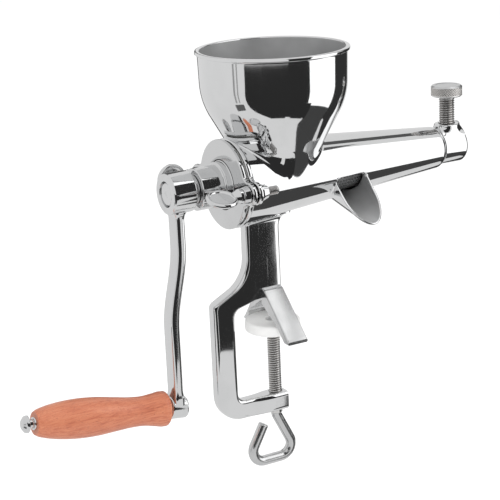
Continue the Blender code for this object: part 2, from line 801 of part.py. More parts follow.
def build_crank():
    profile = [
        (0, HUB_BACK_X),
        (HUB_RADIUS - 0.8, HUB_BACK_X),
        (HUB_RADIUS, HUB_BACK_X - 0.8),
        (HUB_RADIUS, HUB_FRONT_X + 1.4),
        (HUB_RADIUS - 1.4, HUB_FRONT_X),
        (HUB_RECESS_RADIUS, HUB_FRONT_X),
        (HUB_RECESS_RADIUS, RECESS_FLOOR_X),
        (0, RECESS_FLOOR_X),
    ]
    crank = on_axis(turned("crank_arm", profile, MEDIUM, closed=False))

    depths = [HUB_RADIUS * 0.75]
    depths += [ARM_BEND_START + ARM_BEND_LENGTH * i / 8 for i in range(9)]
    depths.append(CRANK_LENGTH)
    half = ARM_THICKNESS / 2
    right = [(arm_centre(depth) + half, AXIS_HEIGHT - depth) for depth in depths]
    left = [(arm_centre(depth) - half, AXIS_HEIGHT - depth) for depth in depths]
    arm = plate("arm_of_crank", [right + left[::-1]], ARM_WIDTH)
    put(arm, turn=FACING_FRONT)
    round_edges(arm, 2.4, 1)
    weld(crank, arm)

    end = BOSS_LENGTH / 2
    boss_profile = [
        (0, end),
        (BOSS_RADIUS - 1.0, end),
        (BOSS_RADIUS, end - 1.0),
        (BOSS_RADIUS, -end + 1.0),
        (BOSS_RADIUS - 1.0, -end),
        (0, -end),
    ]
    weld(crank, boss_place(turned("boss_of_crank", boss_profile, COARSE, closed=False)))
    hole = rod("spindle_hole_cutter", SPINDLE_RADIUS + GAP, -end - 5.0, end + 5.0)
    cut(crank, boss_place(hole))
    side = SQUARE_SIDE / 2 + GAP
    socket = box("square_socket_cutter", (SQUARE_END_X, -side, -side), (HUB_BACK_X + 2.0, side, side))
    cut(crank, put(socket, z=AXIS_HEIGHT))
    hole_radius = CRANK_SCREW_RADIUS + GAP
    screw_hole = rod("crank_screw_hole_cutter", hole_radius, RECESS_FLOOR_X - 1.0, SQUARE_END_X + 1.0)
    cut(crank, on_axis(screw_hole))
    finish(crank, steel("crank_steel", 0.1))

    washer = ring("crank_washer", BUSH_INNER, BUSH_INNER + CRANK_WASHER_WIDTH, WASHER_END_X, NECK_END_X - GAP)
    finish(on_axis(washer), steel("crank_washer_steel", 0.2))

    head_back = RECESS_FLOOR_X - GAP
    head_front = head_back - CRANK_SCREW_HEAD
    head = HUB_RECESS_RADIUS - GAP
    screw_profile = [
        (0, SHAFT_END_X + 7.0),
        (CRANK_SCREW_RADIUS, SHAFT_END_X + 7.0),
        (CRANK_SCREW_RADIUS, head_back),
        (head, head_back),
        (head, head_front + 0.5),
        (head - 0.5, head_front),
        (0, head_front),
    ]
    screw = turned("crank_screw", screw_profile, COARSE, closed=False)
    finish(on_axis(screw), steel("crank_screw_steel", 0.1))


def build_grip():
    washer_low = BOSS_LENGTH / 2 + GAP
    washer_high = washer_low + GRIP_WASHER_THICKNESS
    bore = SPINDLE_RADIUS + GAP
    washer = ring("grip_washer", bore, bore + 3.0, washer_low, washer_high)
    finish(boss_place(washer), steel("grip_washer_steel", 0.2))

    low = washer_high + GAP
    shape = (
        (1.0, 0.50), (0.985, 0.58), (0.93, 0.75), (0.84, 0.90), (0.70, 1.0), (0.55, 0.98),
        (0.40, 0.86), (0.28, 0.77), (0.19, 0.76), (0.10, 0.85), (0.04, 0.91), (0.01, 0.84), (0.0, 0.70),
    )
    profile = [(GRIP_RADIUS * radius, low + GRIP_LENGTH * along) for along, radius in shape]
    profile += [(bore, low), (bore, low + GRIP_LENGTH)]
    grip = boss_place(turned("wooden_grip", profile, COARSE))
    finish(grip, make_material("grip_wood", (0.50, 0.20, 0.09), 0.4, 0.0))

    stem_end = low + GRIP_LENGTH + SPINDLE_EXPOSED
    head = SPINDLE_HEAD_RADIUS
    spindle_profile = [
        (0, stem_end + SPINDLE_HEAD_LENGTH),
        (head * 0.6, stem_end + SPINDLE_HEAD_LENGTH * 0.85),
        (head * 0.92, stem_end + SPINDLE_HEAD_LENGTH * 0.5),
        (head, stem_end + 0.8),
        (head - 0.6, stem_end),
        (SPINDLE_RADIUS, stem_end),
        (SPINDLE_RADIUS, -BOSS_LENGTH / 2 - 0.6),
        (0, -BOSS_LENGTH / 2 - 0.6),
    ]
    spindle = boss_place(turned("grip_spindle", spindle_profile, COARSE, closed=False))
    finish(spindle, steel("spindle_steel", 0.12))


# ---------------------------------------------------------------- thumb screws

def ear_place(item, side):
    return put(item, y=side * EAR_OFFSET, z=AXIS_HEIGHT, turn=ALONG_X)


def build_thumb_screw(label, side, paddle_turn):
    collar_back = COVER_FRONT_X - GAP
    collar_front = collar_back - COLLAR_LENGTH
    bore = EAR_SCREW_RADIUS + GAP
    collar_profile = [
        (COLLAR_RADIUS, collar_back),
        (COLLAR_RADIUS - 1.0, collar_front),
        (bore, collar_front),
        (bore, collar_back),
    ]
    collar = turned("thumb_collar_" + label, collar_profile, COARSE)
    finish(ear_place(collar, side), steel("thumb_collar_steel_" + label, 0.2))

    nut_front = FLANGE_BACK_X + GAP
    nut_back = nut_front + NUT_LENGTH
    nut_profile = [
        (NUT_RADIUS - 1.6, nut_back),
        (NUT_RADIUS, nut_front + 1.5),
        (NUT_RADIUS, nut_front),
        (bore, nut_front),
        (bore, nut_back),
    ]
    nut = turned("weld_nut_" + label, nut_profile, 12)
    finish(ear_place(nut, side), steel("weld_nut_steel_" + label, 0.2))

    shoulder_back = collar_front - GAP
    shoulder_front = shoulder_back - SHOULDER_LENGTH
    stud_end = nut_back + STUD_PAST_NUT
    radius = EAR_SCREW_RADIUS
    screw_profile = [
        (0, stud_end),
        (radius - 0.7, stud_end),
        (radius, stud_end - 0.8),
        (radius, shoulder_back),
        (SHOULDER_RADIUS, shoulder_back),
        (SHOULDER_RADIUS, shoulder_front + 1.5),
        (SHOULDER_RADIUS - 1.5, shoulder_front),
        (0, shoulder_front),
    ]
    screw = turned("thumb_screw_" + label, screw_profile, COARSE, closed=False)
    ear_place(screw, side)
    half = PADDLE_THICKNESS / 2
    dish = half - PADDLE_DISH
    paddle_profile = [
        (0, dish),
        (PADDLE_RADIUS * 0.62, dish),
        (PADDLE_RADIUS * 0.78, half),
        (PADDLE_RADIUS * 0.92, half),
        (PADDLE_RADIUS, half * 0.45),
        (PADDLE_RADIUS, -half * 0.45),
        (PADDLE_RADIUS * 0.92, -half),
        (PADDLE_RADIUS * 0.78, -half),
        (PADDLE_RADIUS * 0.62, -dish),
        (0, -dish),
    ]
    paddle = turned("paddle_" + label, paddle_profile, COARSE, closed=False)
    centre = shoulder_front - PADDLE_RADIUS + 1.6
    put(paddle, x=centre, y=side * EAR_OFFSET, z=AXIS_HEIGHT, turn=(paddle_turn, 0.0, 0.0))
    weld(screw, paddle)
    finish(screw, steel("thumb_screw_steel_" + label, 0.15))


# ---------------------------------------------------------------- clamp

def build_frame():
    shoulder = COLUMN_BOTTOM + FRAME_FLARE_HEIGHT
    corner_z = shoulder - (COLUMN_LEFT - LEG_OUTER) / math.tan(FRAME_LEAN)
    top = AXIS_HEIGHT - barrel_radius(COLUMN_RIGHT) + FRAME_IN_BARREL
    leg_corner, heel_corner = FRAME_INNER_RADII
    jaw_right, jaw_left = JAW_RADII
    corners = [
        (COLUMN_LEFT, top, 0),
        (COLUMN_LEFT, shoulder, FRAME_FLARE_RADIUS),
        (LEG_OUTER, corner_z, FRAME_SHOULDER_RADIUS),
        (LEG_OUTER, ARM_BOTTOM, FRAME_HEEL_RADIUS),
        (BOSS_REACH, ARM_BOTTOM, FRAME_TIP_RADIUS),
        (BOSS_REACH, ARM_TOP, FRAME_TIP_RADIUS),
        (LEG_INNER, ARM_TOP, heel_corner),
        (LEG_INNER, COLUMN_BOTTOM - JAW_DROP, leg_corner),
        (COLUMN_LEFT + JAW_LENGTH_PAST_LEFT, COLUMN_BOTTOM, jaw_left),
        (COLUMN_RIGHT, COLUMN_BOTTOM, jaw_right),
        (COLUMN_RIGHT, top - WELD_DEPTH, WELD_WIDTH),
        (COLUMN_RIGHT + WELD_WIDTH, top - WELD_DEPTH / 2, 3.0),
        (COLUMN_RIGHT + WELD_WIDTH, top, 0),
    ]
    frame = plate("clamp_frame", [rounded(corners)], FRAME_THICKNESS)
    put(frame, turn=FACING_FRONT)
    round_edges(frame, FRAME_EDGE, 1)
    boss = rod("boss_of_frame", BOSS_REACH, ARM_BOTTOM + 0.6, ARM_TOP - 0.6)
    weld(frame, boss)
    cut(frame, barrel_solid("barrel_trim_for_frame", GAP))
    cut(frame, rod("clamp_screw_hole_cutter", SCREW_RADIUS + GAP, ARM_BOTTOM - 5.0, ARM_TOP + 5.0))
    return finish(frame, steel("frame_steel", 0.1))


def build_foot(label, side, reach, centre_x):
    """Sloping foot whose tip has a flat landing on the table plane."""
    root = FRAME_THICKNESS / 2 + GAP
    high = COLUMN_BOTTOM + FOOT_ABOVE_JAW
    knee = min(PAD_RADIUS + FOOT_CLEAR_OF_PAD, reach - FOOT_LANDING - 1.5)
    outline = [
        (root, high),
        (root + 3.5, high - 1.5),
        (reach - 1.0, FOOT_TIP + 0.6),
        (reach, FOOT_TIP - 0.6),
        (reach, 0.0),
        (reach - FOOT_LANDING, 0.0),
        (knee, PAD_TOP + 1.5),
        (root, COLUMN_BOTTOM - FOOT_BELOW_JAW),
    ]
    foot = plate("jaw_foot_" + label, [[(side * y, z) for y, z in outline]], FOOT_WIDTH)
    turn = Matrix(((0, 0, 1), (1, 0, 0), (0, 1, 0))).to_euler()
    put(foot, x=centre_x, turn=turn)
    round_edges(foot, FOOT_EDGE, 1)
    return finish(foot, steel("foot_steel_" + label, 0.12))


def build_clamp_screw():
    socket_top = PAD_TOP - PAD_THICKNESS + 3.2
    top = socket_top - GAP
    bottom = top - SCREW_LENGTH
    hole = PAD_SCREW_RADIUS + GAP
    profile = [
        (0, top - 9.0),
        (hole, top - 9.0),
        (hole, top),
        (SCREW_RADIUS - 0.8, top),
        (SCREW_RADIUS, top - 0.8),
        (SCREW_RADIUS, bottom + 1.0),
        (SCREW_RADIUS - 1.0, bottom),
        (0, bottom),
    ]
    screw = turned("clamp_screw", profile, COARSE, closed=False)
    base = bottom - HOOK_DEPTH
    half = HOOK_WIDTH / 2
    path = rounded([
        (0, bottom + 3.0, 0),
        (0, bottom - 1.5, 5.0),
        (half - 5.0, base, 9.0),
        (-half - 5.0, base, 9.0),
        (-11.0, bottom - 7.0, 0),
    ], closed=False, count=5)
    hook = tube_along("hook_of_screw", [(x, 0.0, z) for x, z in path], HOOK_RADIUS)
    weld(screw, hook)
    finish(screw, steel("clamp_screw_steel", 0.15))

    edge = 1.6
    low = PAD_TOP - PAD_THICKNESS
    head_seat = PAD_TOP - PAD_SCREW_HEAD - 0.7
    pad_profile = [
        (PAD_RADIUS - edge, PAD_TOP),
        (PAD_RADIUS - 0.45 * edge, PAD_TOP - 0.45 * edge),
        (PAD_RADIUS, PAD_TOP - edge),
        (PAD_RADIUS, low + edge),
        (PAD_RADIUS - edge, low),
        (SCREW_RADIUS + GAP, low),
        (SCREW_RADIUS + GAP, socket_top),
        (PAD_SCREW_RADIUS + GAP, socket_top),
        (PAD_SCREW_RADIUS + GAP, head_seat),
        (PAD_SCREW_HEAD_RADIUS + GAP, head_seat),
        (PAD_SCREW_HEAD_RADIUS + GAP, PAD_TOP),
    ]
    pad = turned("pressure_pad", pad_profile, MEDIUM)
    finish(pad, make_material("pad_plastic", (0.85, 0.85, 0.84), 0.4, 0.0))

    head_low = head_seat + GAP
    small_profile = [
        (0, head_low + PAD_SCREW_HEAD - 0.2),
        (PAD_SCREW_HEAD_RADIUS - 1.2, head_low + PAD_SCREW_HEAD - 0.4),
        (PAD_SCREW_HEAD_RADIUS, head_low + 0.6),
        (PAD_SCREW_HEAD_RADIUS, head_low),
        (PAD_SCREW_RADIUS, head_low),
        (PAD_SCREW_RADIUS, top - 8.0),
        (0, top - 8.0),
    ]
    small = turned("pad_screw", small_profile, COARSE, closed=False)
    finish(small, steel("pad_screw_steel", 0.2))


clear_scene()
PIECES = make_collection("auger_mill")
TOOLS = make_collection("cutters_and_joined_shapes")
build_hopper()
build_barrel()
build_spout()
build_flange()
build_gasket()
build_cover()
build_bearings()
build_auger()
build_strainer()
build_outlet()
build_crank()
build_grip()
build_thumb_screw("near", -1, NEAR_PADDLE_TURN)
build_thumb_screw("far", 1, FAR_PADDLE_TURN)
build_frame()
build_foot("near", -1, NEAR_FOOT_REACH, NEAR_FOOT_X)
build_foot("far", 1, FAR_FOOT_REACH, FAR_FOOT_X)
build_clamp_screw()
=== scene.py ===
import math

import bmesh
import bpy
import numpy as np
from mathutils import Matrix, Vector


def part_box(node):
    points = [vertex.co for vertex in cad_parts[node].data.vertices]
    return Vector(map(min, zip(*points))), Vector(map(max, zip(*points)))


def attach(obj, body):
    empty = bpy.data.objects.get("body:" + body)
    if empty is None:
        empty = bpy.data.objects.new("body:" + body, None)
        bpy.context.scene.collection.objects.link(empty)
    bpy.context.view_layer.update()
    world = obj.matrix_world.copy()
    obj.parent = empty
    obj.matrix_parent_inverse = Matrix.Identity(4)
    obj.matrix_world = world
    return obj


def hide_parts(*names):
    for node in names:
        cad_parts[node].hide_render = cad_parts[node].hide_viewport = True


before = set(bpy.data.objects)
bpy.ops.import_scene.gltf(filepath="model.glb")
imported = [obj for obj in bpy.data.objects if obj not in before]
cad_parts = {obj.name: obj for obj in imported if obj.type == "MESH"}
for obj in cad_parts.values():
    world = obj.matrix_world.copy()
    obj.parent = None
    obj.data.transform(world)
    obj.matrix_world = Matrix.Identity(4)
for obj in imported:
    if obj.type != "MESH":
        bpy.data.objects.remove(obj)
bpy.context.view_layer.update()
bpy.context.scene.view_settings.view_transform = "Standard"
fullTurn = 2 * math.pi
quarterTurn = math.pi / 2
gripLean = math.radians(7.5)


def boxOf(node):
    # lowest and highest corner of a CAD node, in millimetres like every size below
    low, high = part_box(node)
    return np.array(low) * 1000, np.array(high) * 1000


barrelLow, barrelHigh = boxOf("barrel")
hopperLow, hopperHigh = boxOf("hopper")
axisZ = (barrelLow[2] + barrelHigh[2]) / 2
hopperX = (hopperLow[0] + hopperHigh[0]) / 2
print("frame loaded, barrel axis at", round(axisZ, 2))


# ---- shaping: grids of points, rows along a piece and columns round it

def spotAt(origin, along, start):
    # a local frame: origin, then two directions across and one along the piece
    along = np.array(along, float) / np.linalg.norm(along)
    start = np.array(start, float)
    start = start - along * (start @ along)
    start = start / np.linalg.norm(start)
    return np.array(origin, float), start, np.cross(along, start), along


def standing(x=0, z=0):
    # a frame for pieces turned round an upright axis
    return spotAt((x, 0, z), (0, 0, 1), (1, 0, 0))


onBarrelAxis = spotAt((0, 0, axisZ), (1, 0, 0), (0, 0, 1))
crossSection = (np.zeros(3), np.array((1.0, 0, 0)), np.array((0, 0, 1.0)), np.array((0, 1.0, 0)))


def column(values):
    return np.asarray(values, float).reshape(-1, 1)


def around(count):
    return np.arange(count).reshape(1, -1) * fullTurn / count


def revolve(radius, height, angle, spot):
    # point = origin + radius * (cos a * e1 + sin a * e2) + height * axis
    origin, first, second, along = spot
    radius, height, angle = np.broadcast_arrays(radius, height, angle)
    grid = origin + (radius * np.cos(angle))[..., None] * first
    grid = grid + (radius * np.sin(angle))[..., None] * second
    return grid + height[..., None] * along


def softCorners(corners, steps=6, support=0.15):
    # outline through (x, y, fillet) corners; a fillet is an arc that touches both sides
    outline = []
    for i, (x, y, fillet) in enumerate(corners):
        here = np.array((x, y), float)
        if fillet <= 0 or i in (0, len(corners) - 1):
            outline.append(here[None])
            continue
        back = np.array(corners[i - 1][:2], float) - here
        ahead = np.array(corners[i + 1][:2], float) - here
        room = min(np.linalg.norm(back), np.linalg.norm(ahead))
        back = back / np.linalg.norm(back)
        ahead = ahead / np.linalg.norm(ahead)
        half = math.acos(np.clip(back @ ahead, -1, 1)) / 2
        reach = min(fillet / math.tan(half), room * 0.49)
        fillet = reach * math.tan(half)
        middle = here + (back + ahead) / np.linalg.norm(back + ahead) * fillet / math.sin(half)
        first = here + back * reach - middle
        last = here + ahead * reach - middle
        begin = math.atan2(first[1], first[0])
        sweep = (math.atan2(last[1], last[0]) - begin + math.pi) % fullTurn - math.pi
        turn = begin + sweep * np.linspace(0, 1, steps + 1)
        bend = middle + fillet * np.stack([np.cos(turn), np.sin(turn)], 1)
        extra = min(support, room * 0.49 - reach)
        if extra > 0.01:
            bend = np.vstack([here + back * (reach + extra), bend, here + ahead * (reach + extra)])
        outline.append(bend)
    return np.vstack(outline)


def turned(corners, count, spot, steps=6):
    # a lathe profile of (radius, height, fillet) corners, turned round the spot's axis
    outline = softCorners(corners, steps)
    return revolve(outline[:, :1], outline[:, 1:], around(count), spot)


def threadCut(height, angle, pitch, depth):
    # depth of a rounded V thread: a triangle wave of height / pitch - angle / turn
    phase = (height / pitch - angle / fullTurn) % 1.0
    wave = 1 - np.abs(2 * phase - 1)
    return depth * np.clip(1.25 * wave - 0.1, 0, 1)


def threaded(radius, low, high, pitch, depth, count, rows=8, fadeLow=1.0, fadeHigh=1.0):
    # rows of a threaded shank from low to high, with the thread fading out at the ends
    height = column(np.linspace(low, high, int(abs(high - low) / pitch * rows) + 2))
    fade = np.clip((height - min(low, high)) / max(fadeLow * pitch, 0.001), 0, 1)
    fade = fade * np.clip((max(low, high) - height) / max(fadeHigh * pitch, 0.001), 0, 1)
    angle = around(count)
    return radius - fade * threadCut(height, angle, pitch, depth), height + 0 * angle


def rowsOf(outline, count):
    # radius and height arrays of a plain outline, as wide as a threaded part
    blank = np.zeros((1, count))
    return outline[:, :1] + blank, outline[:, 1:] + blank


def stacked(parts, spot):
    # several (radius, height) arrays one after another, turned round one axis
    radius = np.vstack([part[0] for part in parts])
    height = np.vstack([part[1] for part in parts])
    return revolve(radius, height, around(radius.shape[1]), spot)


def swept(path, radius, count, side):
    # round rod along a flat path: centre + radius * (cos a * across + sin a * side)
    tangent = np.gradient(path, axis=0)
    tangent = tangent / np.linalg.norm(tangent, axis=1, keepdims=True)
    side = np.array(side, float)
    across = np.cross(side, tangent)
    across = across / np.linalg.norm(across, axis=1, keepdims=True)
    angle = around(count)
    ring = np.cos(angle)[..., None] * across[:, None, :] + np.sin(angle)[..., None] * side
    return path[:, None, :] + ring * column(radius)[:, :, None]


def evenly(path, step):
    # the same path with points a step apart along its length
    reach = np.concatenate([[0], np.cumsum(np.linalg.norm(np.diff(path, axis=0), axis=1))])
    spots = np.linspace(0, reach[-1], max(int(reach[-1] / step), 2) + 1)
    return np.stack([np.interp(spots, reach, path[:, k]) for k in range(path.shape[1])], 1)


def ribbon(left, right, half, edge, crown, axes, faceSteps=12, edgeSteps=5):
    # a bar between two edge lines. Across: left + share * (right - left); out of the plane:
    # +-(half + crown * (1 - (2 share - 1)^2)), with quarter round edges of the given radius
    width = np.linalg.norm(right - left, axis=1).reshape(-1, 1)
    half = column(half) * np.ones_like(width)
    edge = np.minimum(column(edge) * np.ones_like(width), np.minimum(0.49 * width, half * 0.98))
    turn = np.linspace(0, quarterTurn, edgeSteps + 1)[None]
    flat = np.linspace(0, 1, faceSteps + 1)[None, 1:-1]
    near = edge * (1 - np.sin(turn))
    inset = np.hstack([edge * (1 - np.cos(turn)), edge + (width - 2 * edge) * flat, width - near])
    lift = np.hstack([half - near, half + 0 * flat, half - edge * (1 - np.cos(turn))])
    share = inset / width
    lift = lift + crown * (1 - (2 * share - 1) ** 2)
    share = np.hstack([share, share[:, ::-1]])
    lift = np.hstack([lift, -lift[:, ::-1]])
    flatPoint = left[:, None, :] + share[..., None] * (right - left)[:, None, :]
    origin, first, second, out = axes
    grid = origin + flatPoint[..., :1] * first + flatPoint[..., 1:] * second
    return grid + lift[..., None] * out


def shut(grid, first=True, last=True):
    # close the open ends of a tube with a point in the middle of each
    rows = [grid]
    if first:
        rows.insert(0, np.broadcast_to(grid[0].mean(0), grid[:1].shape))
    if last:
        rows.append(np.broadcast_to(grid[-1].mean(0), grid[:1].shape))
    return np.concatenate(rows)


def gridFaces(rows, columns, ringed):
    # four-cornered faces of a grid that is closed round its columns, and its rows if ringed
    row = np.arange(rows if ringed else rows - 1).reshape(-1, 1)
    after = (row + 1) % rows
    here = np.arange(columns).reshape(1, -1)
    beside = (here + 1) % columns
    corners = [row * columns + here, row * columns + beside,
               after * columns + beside, after * columns + here]
    return np.stack(corners, -1).reshape(-1, 4)


def placed(name, data):
    made = bpy.data.objects.new(name, data)
    bpy.context.scene.collection.objects.link(made)
    return made


def solid(name, shells, smoothUnder=38):
    # shells: (grid, ringed, material number or a number for each row of faces)
    points, faces, paints = [], [], []
    start = 0
    for grid, ringed, paint in shells:
        rows, columns = grid.shape[:2]
        quads = gridFaces(rows, columns, ringed) + start
        perRow = np.broadcast_to(np.asarray(paint).reshape(-1, 1), (len(quads) // columns, columns))
        points.append(grid.reshape(-1, 3))
        faces.append(quads)
        paints.append(perRow.reshape(-1))
        start += rows * columns
    mesh = bpy.data.meshes.new(name)
    mesh.from_pydata(np.vstack(points) * 0.001, [], np.vstack(faces))
    mesh.polygons.foreach_set("material_index", np.concatenate(paints).astype(np.int32))
    tidyMesh(mesh, smoothUnder)
    return placed(name, mesh)


def tidyMesh(mesh, smoothUnder):
    # merge poles and seams, face every shell outward, keep only real corners sharp
    work = bmesh.new()
    work.from_mesh(mesh)
    bmesh.ops.remove_doubles(work, verts=work.verts, dist=0.0000008)
    bmesh.ops.dissolve_degenerate(work, edges=work.edges, dist=0.0000004)
    bmesh.ops.recalc_face_normals(work, faces=work.faces)
    work.to_mesh(mesh)
    work.free()
    mesh.polygons.foreach_set("use_smooth", np.ones(len(mesh.polygons), bool))
    mesh.set_sharp_from_angle(angle=math.radians(smoothUnder))


def carve(made, *cutters):
    # take the cutters out of a piece with exact Booleans, and remove them
    for cutter in cutters:
        step = made.modifiers.new("carve", "BOOLEAN")
        step.operation = "DIFFERENCE"
        step.solver = "EXACT"
        step.object = cutter
    bpy.context.view_layer.update()
    graph = bpy.context.evaluated_depsgraph_get()
    mesh = bpy.data.meshes.new_from_object(made.evaluated_get(graph))
    made.modifiers.clear()
    made.data = mesh
    for cutter in cutters:
        bpy.data.objects.remove(cutter)
    mesh.set_sharp_from_angle(angle=math.radians(38))
    return made


def dress(made, materials, body, slot, *nodes):
    for material in materials:
        made.data.materials.append(material)
    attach(made, body)
    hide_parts(*nodes)
    return made


def meetPoint(inside, low, high):
    # halve the range until low and high meet where inside() turns true
    low = low + np.zeros_like(high)
    for _ in range(40):
        middle = (low + high) / 2
        found = inside(middle)
        high = np.where(found, middle, high)
        low = np.where(found, low, middle)
    return (low + high) / 2


# ---- finishes

class Signal:
    # the output of a node; arithmetic on signals adds Math nodes
    def __init__(self, recipe, socket):
        self.recipe = recipe
        self.socket = socket

    def mathWith(self, operation, first, second):
        return self.recipe.node("ShaderNodeMath", {"operation": operation}, {0: first, 1: second})

    def __add__(self, other):
        return self.mathWith("ADD", self, other)

    def __radd__(self, other):
        return self.mathWith("ADD", other, self)

    def __sub__(self, other):
        return self.mathWith("SUBTRACT", self, other)

    def __rsub__(self, other):
        return self.mathWith("SUBTRACT", other, self)

    def __mul__(self, other):
        return self.mathWith("MULTIPLY", self, other)

    def __rmul__(self, other):
        return self.mathWith("MULTIPLY", other, self)


class Recipe:
    # one material: node() adds any node, its settings first and then its sockets
    def __init__(self, name, metallic=0.0, roughness=0.4):
        self.material = bpy.data.materials.new(name)
        self.material.use_nodes = True
        self.tree = self.material.node_tree
        self.shader = self.tree.nodes["Principled BSDF"]
        self.shader.inputs["Metallic"].default_value = metallic
        self.shader.inputs["Roughness"].default_value = roughness
        self.place = self.node("ShaderNodeTexCoord", output="Object")

    def node(self, kind, settings=None, inputs=None, output=0):
        made = self.tree.nodes.new(kind)
        for key, value in (settings or {}).items():
            if key == "stops":
                self.setStops(made.color_ramp, value)
            else:
                setattr(made, key, value)
        for key, value in (inputs or {}).items():
            self.feed(made.inputs[key], value)
        return Signal(self, made.outputs[output])

    def setStops(self, ramp, stops):
        while len(ramp.elements) < len(stops):
            ramp.elements.new(0.5)
        for element, (position, colour) in zip(ramp.elements, stops):
            element.position = position
            element.color = (*colour, 1.0)

    def feed(self, socket, value):
        if isinstance(value, Signal):
            self.tree.links.new(value.socket, socket)
        elif isinstance(value, tuple) and len(value) == 3 and socket.type == "RGBA":
            socket.default_value = (*value, 1.0)
        else:
            socket.default_value = value

    def stretched(self, scale, turn=(0, 0, 0)):
        return self.node("ShaderNodeMapping", None, {"Vector": self.place, "Rotation": turn, "Scale": scale})

    def noise(self, scale, detail=2.0, where=None, roughness=0.5):
        sockets = {"Vector": where or self.place, "Scale": scale, "Detail": detail, "Roughness": roughness}
        return self.node("ShaderNodeTexNoise", None, sockets)

    def ranged(self, value, low, high, toLow, toHigh):
        sockets = {"Value": value, "From Min": low, "From Max": high, "To Min": toLow, "To Max": toHigh}
        return self.node("ShaderNodeMapRange", None, sockets)

    def blend(self, share, first, second):
        sockets = {0: share, 6: first, 7: second}
        return self.node("ShaderNodeMix", {"data_type": "RGBA"}, sockets, 2)

    def bump(self, height, distance, strength=1.0, over=None):
        sockets = {"Height": height, "Distance": distance, "Strength": strength}
        if over is not None:
            sockets["Normal"] = over
        return self.node("ShaderNodeBump", None, sockets)

    def done(self, **sockets):
        for key, value in sockets.items():
            self.feed(self.shader.inputs[key.replace("_", " ")], value)
        return self.material


def polishedSteel(name, tone=0.80, gloss=0.045, ripple=0.00003):
    # mirror polish: faint waviness, buffing haze in soft patches, hairline scratches
    recipe = Recipe(name, metallic=1.0)
    cloud = recipe.noise(38.0, 3.0)
    haze = recipe.ranged(cloud, 0.45, 0.75, 0.0, 1.0)
    hairs = recipe.noise(900.0, 2.0, recipe.stretched((1.0, 1.0, 0.04), (0.3, 0.5, 0.2)))
    scratch = recipe.ranged(hairs, 0.62, 0.74, 0.0, 1.0)
    colour = recipe.blend(haze, (tone * 0.995, tone, tone * 1.005), (tone * 0.94, tone * 0.945, tone * 0.95))
    wave = recipe.bump(recipe.noise(55.0, 1.0), ripple)
    fine = recipe.bump(hairs, 0.000002, 0.6, wave)
    return recipe.done(Base_Color=colour, Roughness=gloss + haze * 0.03 + scratch * 0.05, Normal=fine)


def satinSteel(name, tone=0.62, rough=0.27, grain=(1.0, 1.0, 0.05), depth=0.000006, metallic=1.0):
    # brushed or blasted finish: fine grain along one direction, duller in patches
    recipe = Recipe(name, metallic=metallic)
    brush = recipe.noise(2600.0, 3.0, recipe.stretched(grain))
    cloud = recipe.noise(60.0, 2.0)
    shade = recipe.ranged(cloud, 0.3, 0.7, 0.0, 1.0)
    colour = recipe.blend(shade, (tone * 0.995, tone, tone * 1.005), (tone * 0.88, tone * 0.885, tone * 0.89))
    return recipe.done(
        Base_Color=colour,
        Roughness=rough + brush * 0.12 + shade * 0.05,
        Normal=recipe.bump(brush, depth, 0.8),
    )


def threadedSteel(name, centre, flatten, crest, depth, tone=0.74, rough=0.17, shade=0.32):
    # turned thread or knurl: distance from the piece's own axis tells crest from groove,
    # and the colour in the grooves is darkened as painted shade for the shade down in them
    recipe = Recipe(name, metallic=1.0)
    centre = tuple(c * 0.001 for c in centre)
    offset = recipe.node("ShaderNodeVectorMath", {"operation": "SUBTRACT"}, {0: recipe.place, 1: centre})
    across = recipe.node("ShaderNodeVectorMath", {"operation": "MULTIPLY"}, {0: offset, 1: flatten})
    reach = recipe.node("ShaderNodeVectorMath", {"operation": "LENGTH"}, {0: across}, 1)
    groove = recipe.ranged(reach, (crest - depth) * 0.001, crest * 0.001, 1.0, 0.0)
    stain = recipe.noise(240.0, 3.0)
    # crest colour, and the darker painted groove shade that the groove mask blends in
    crestColour = (tone, tone * 0.99, tone * 0.98)
    paintedGrooveShade = (tone * shade, tone * shade * 0.95, tone * shade * 0.9)
    return recipe.done(
        Base_Color=recipe.blend(groove, crestColour, paintedGrooveShade),
        Roughness=rough + groove * 0.25 + stain * 0.08,
        Normal=recipe.bump(recipe.noise(1800.0, 2.0), 0.000001, 0.6),
    )


def oiledWood(name):
    # straight reddish grain along the grip, darker streaks, short pores
    recipe = Recipe(name)
    along = recipe.stretched((1.0, 14.0, 14.0), (0, gripLean, 0))
    warp = recipe.noise(11.0, 3.0, along)
    band = recipe.noise(62.0, 4.0, along, 0.6)
    streak = recipe.ranged(band + warp * 0.35, 0.5, 0.98, 0.0, 1.0)
    base = recipe.node(
        "ShaderNodeValToRGB",
        {"stops": [(0.0, (0.58, 0.205, 0.105)), (0.45, (0.52, 0.160, 0.078)),
                   (0.78, (0.42, 0.110, 0.052)), (1.0, (0.27, 0.058, 0.028))]},
        {"Fac": streak},
    )
    poreGrain = recipe.noise(420.0, 2.0, recipe.stretched((1.0, 8.0, 8.0), (0, gripLean, 0)))
    pore = recipe.ranged(poreGrain, 0.60, 0.70, 0.0, 1.0)
    colour = recipe.blend(pore * 0.55, base, (0.20, 0.045, 0.022))
    height = recipe.bump(pore * -1.0 + band * 0.3, 0.00012, 0.5)
    recipe.shader.inputs["Coat Weight"].default_value = 0.25
    recipe.shader.inputs["Coat Roughness"].default_value = 0.22
    return recipe.done(Base_Color=colour, Roughness=0.36 + streak * 0.12 + pore * 0.15, Normal=height)


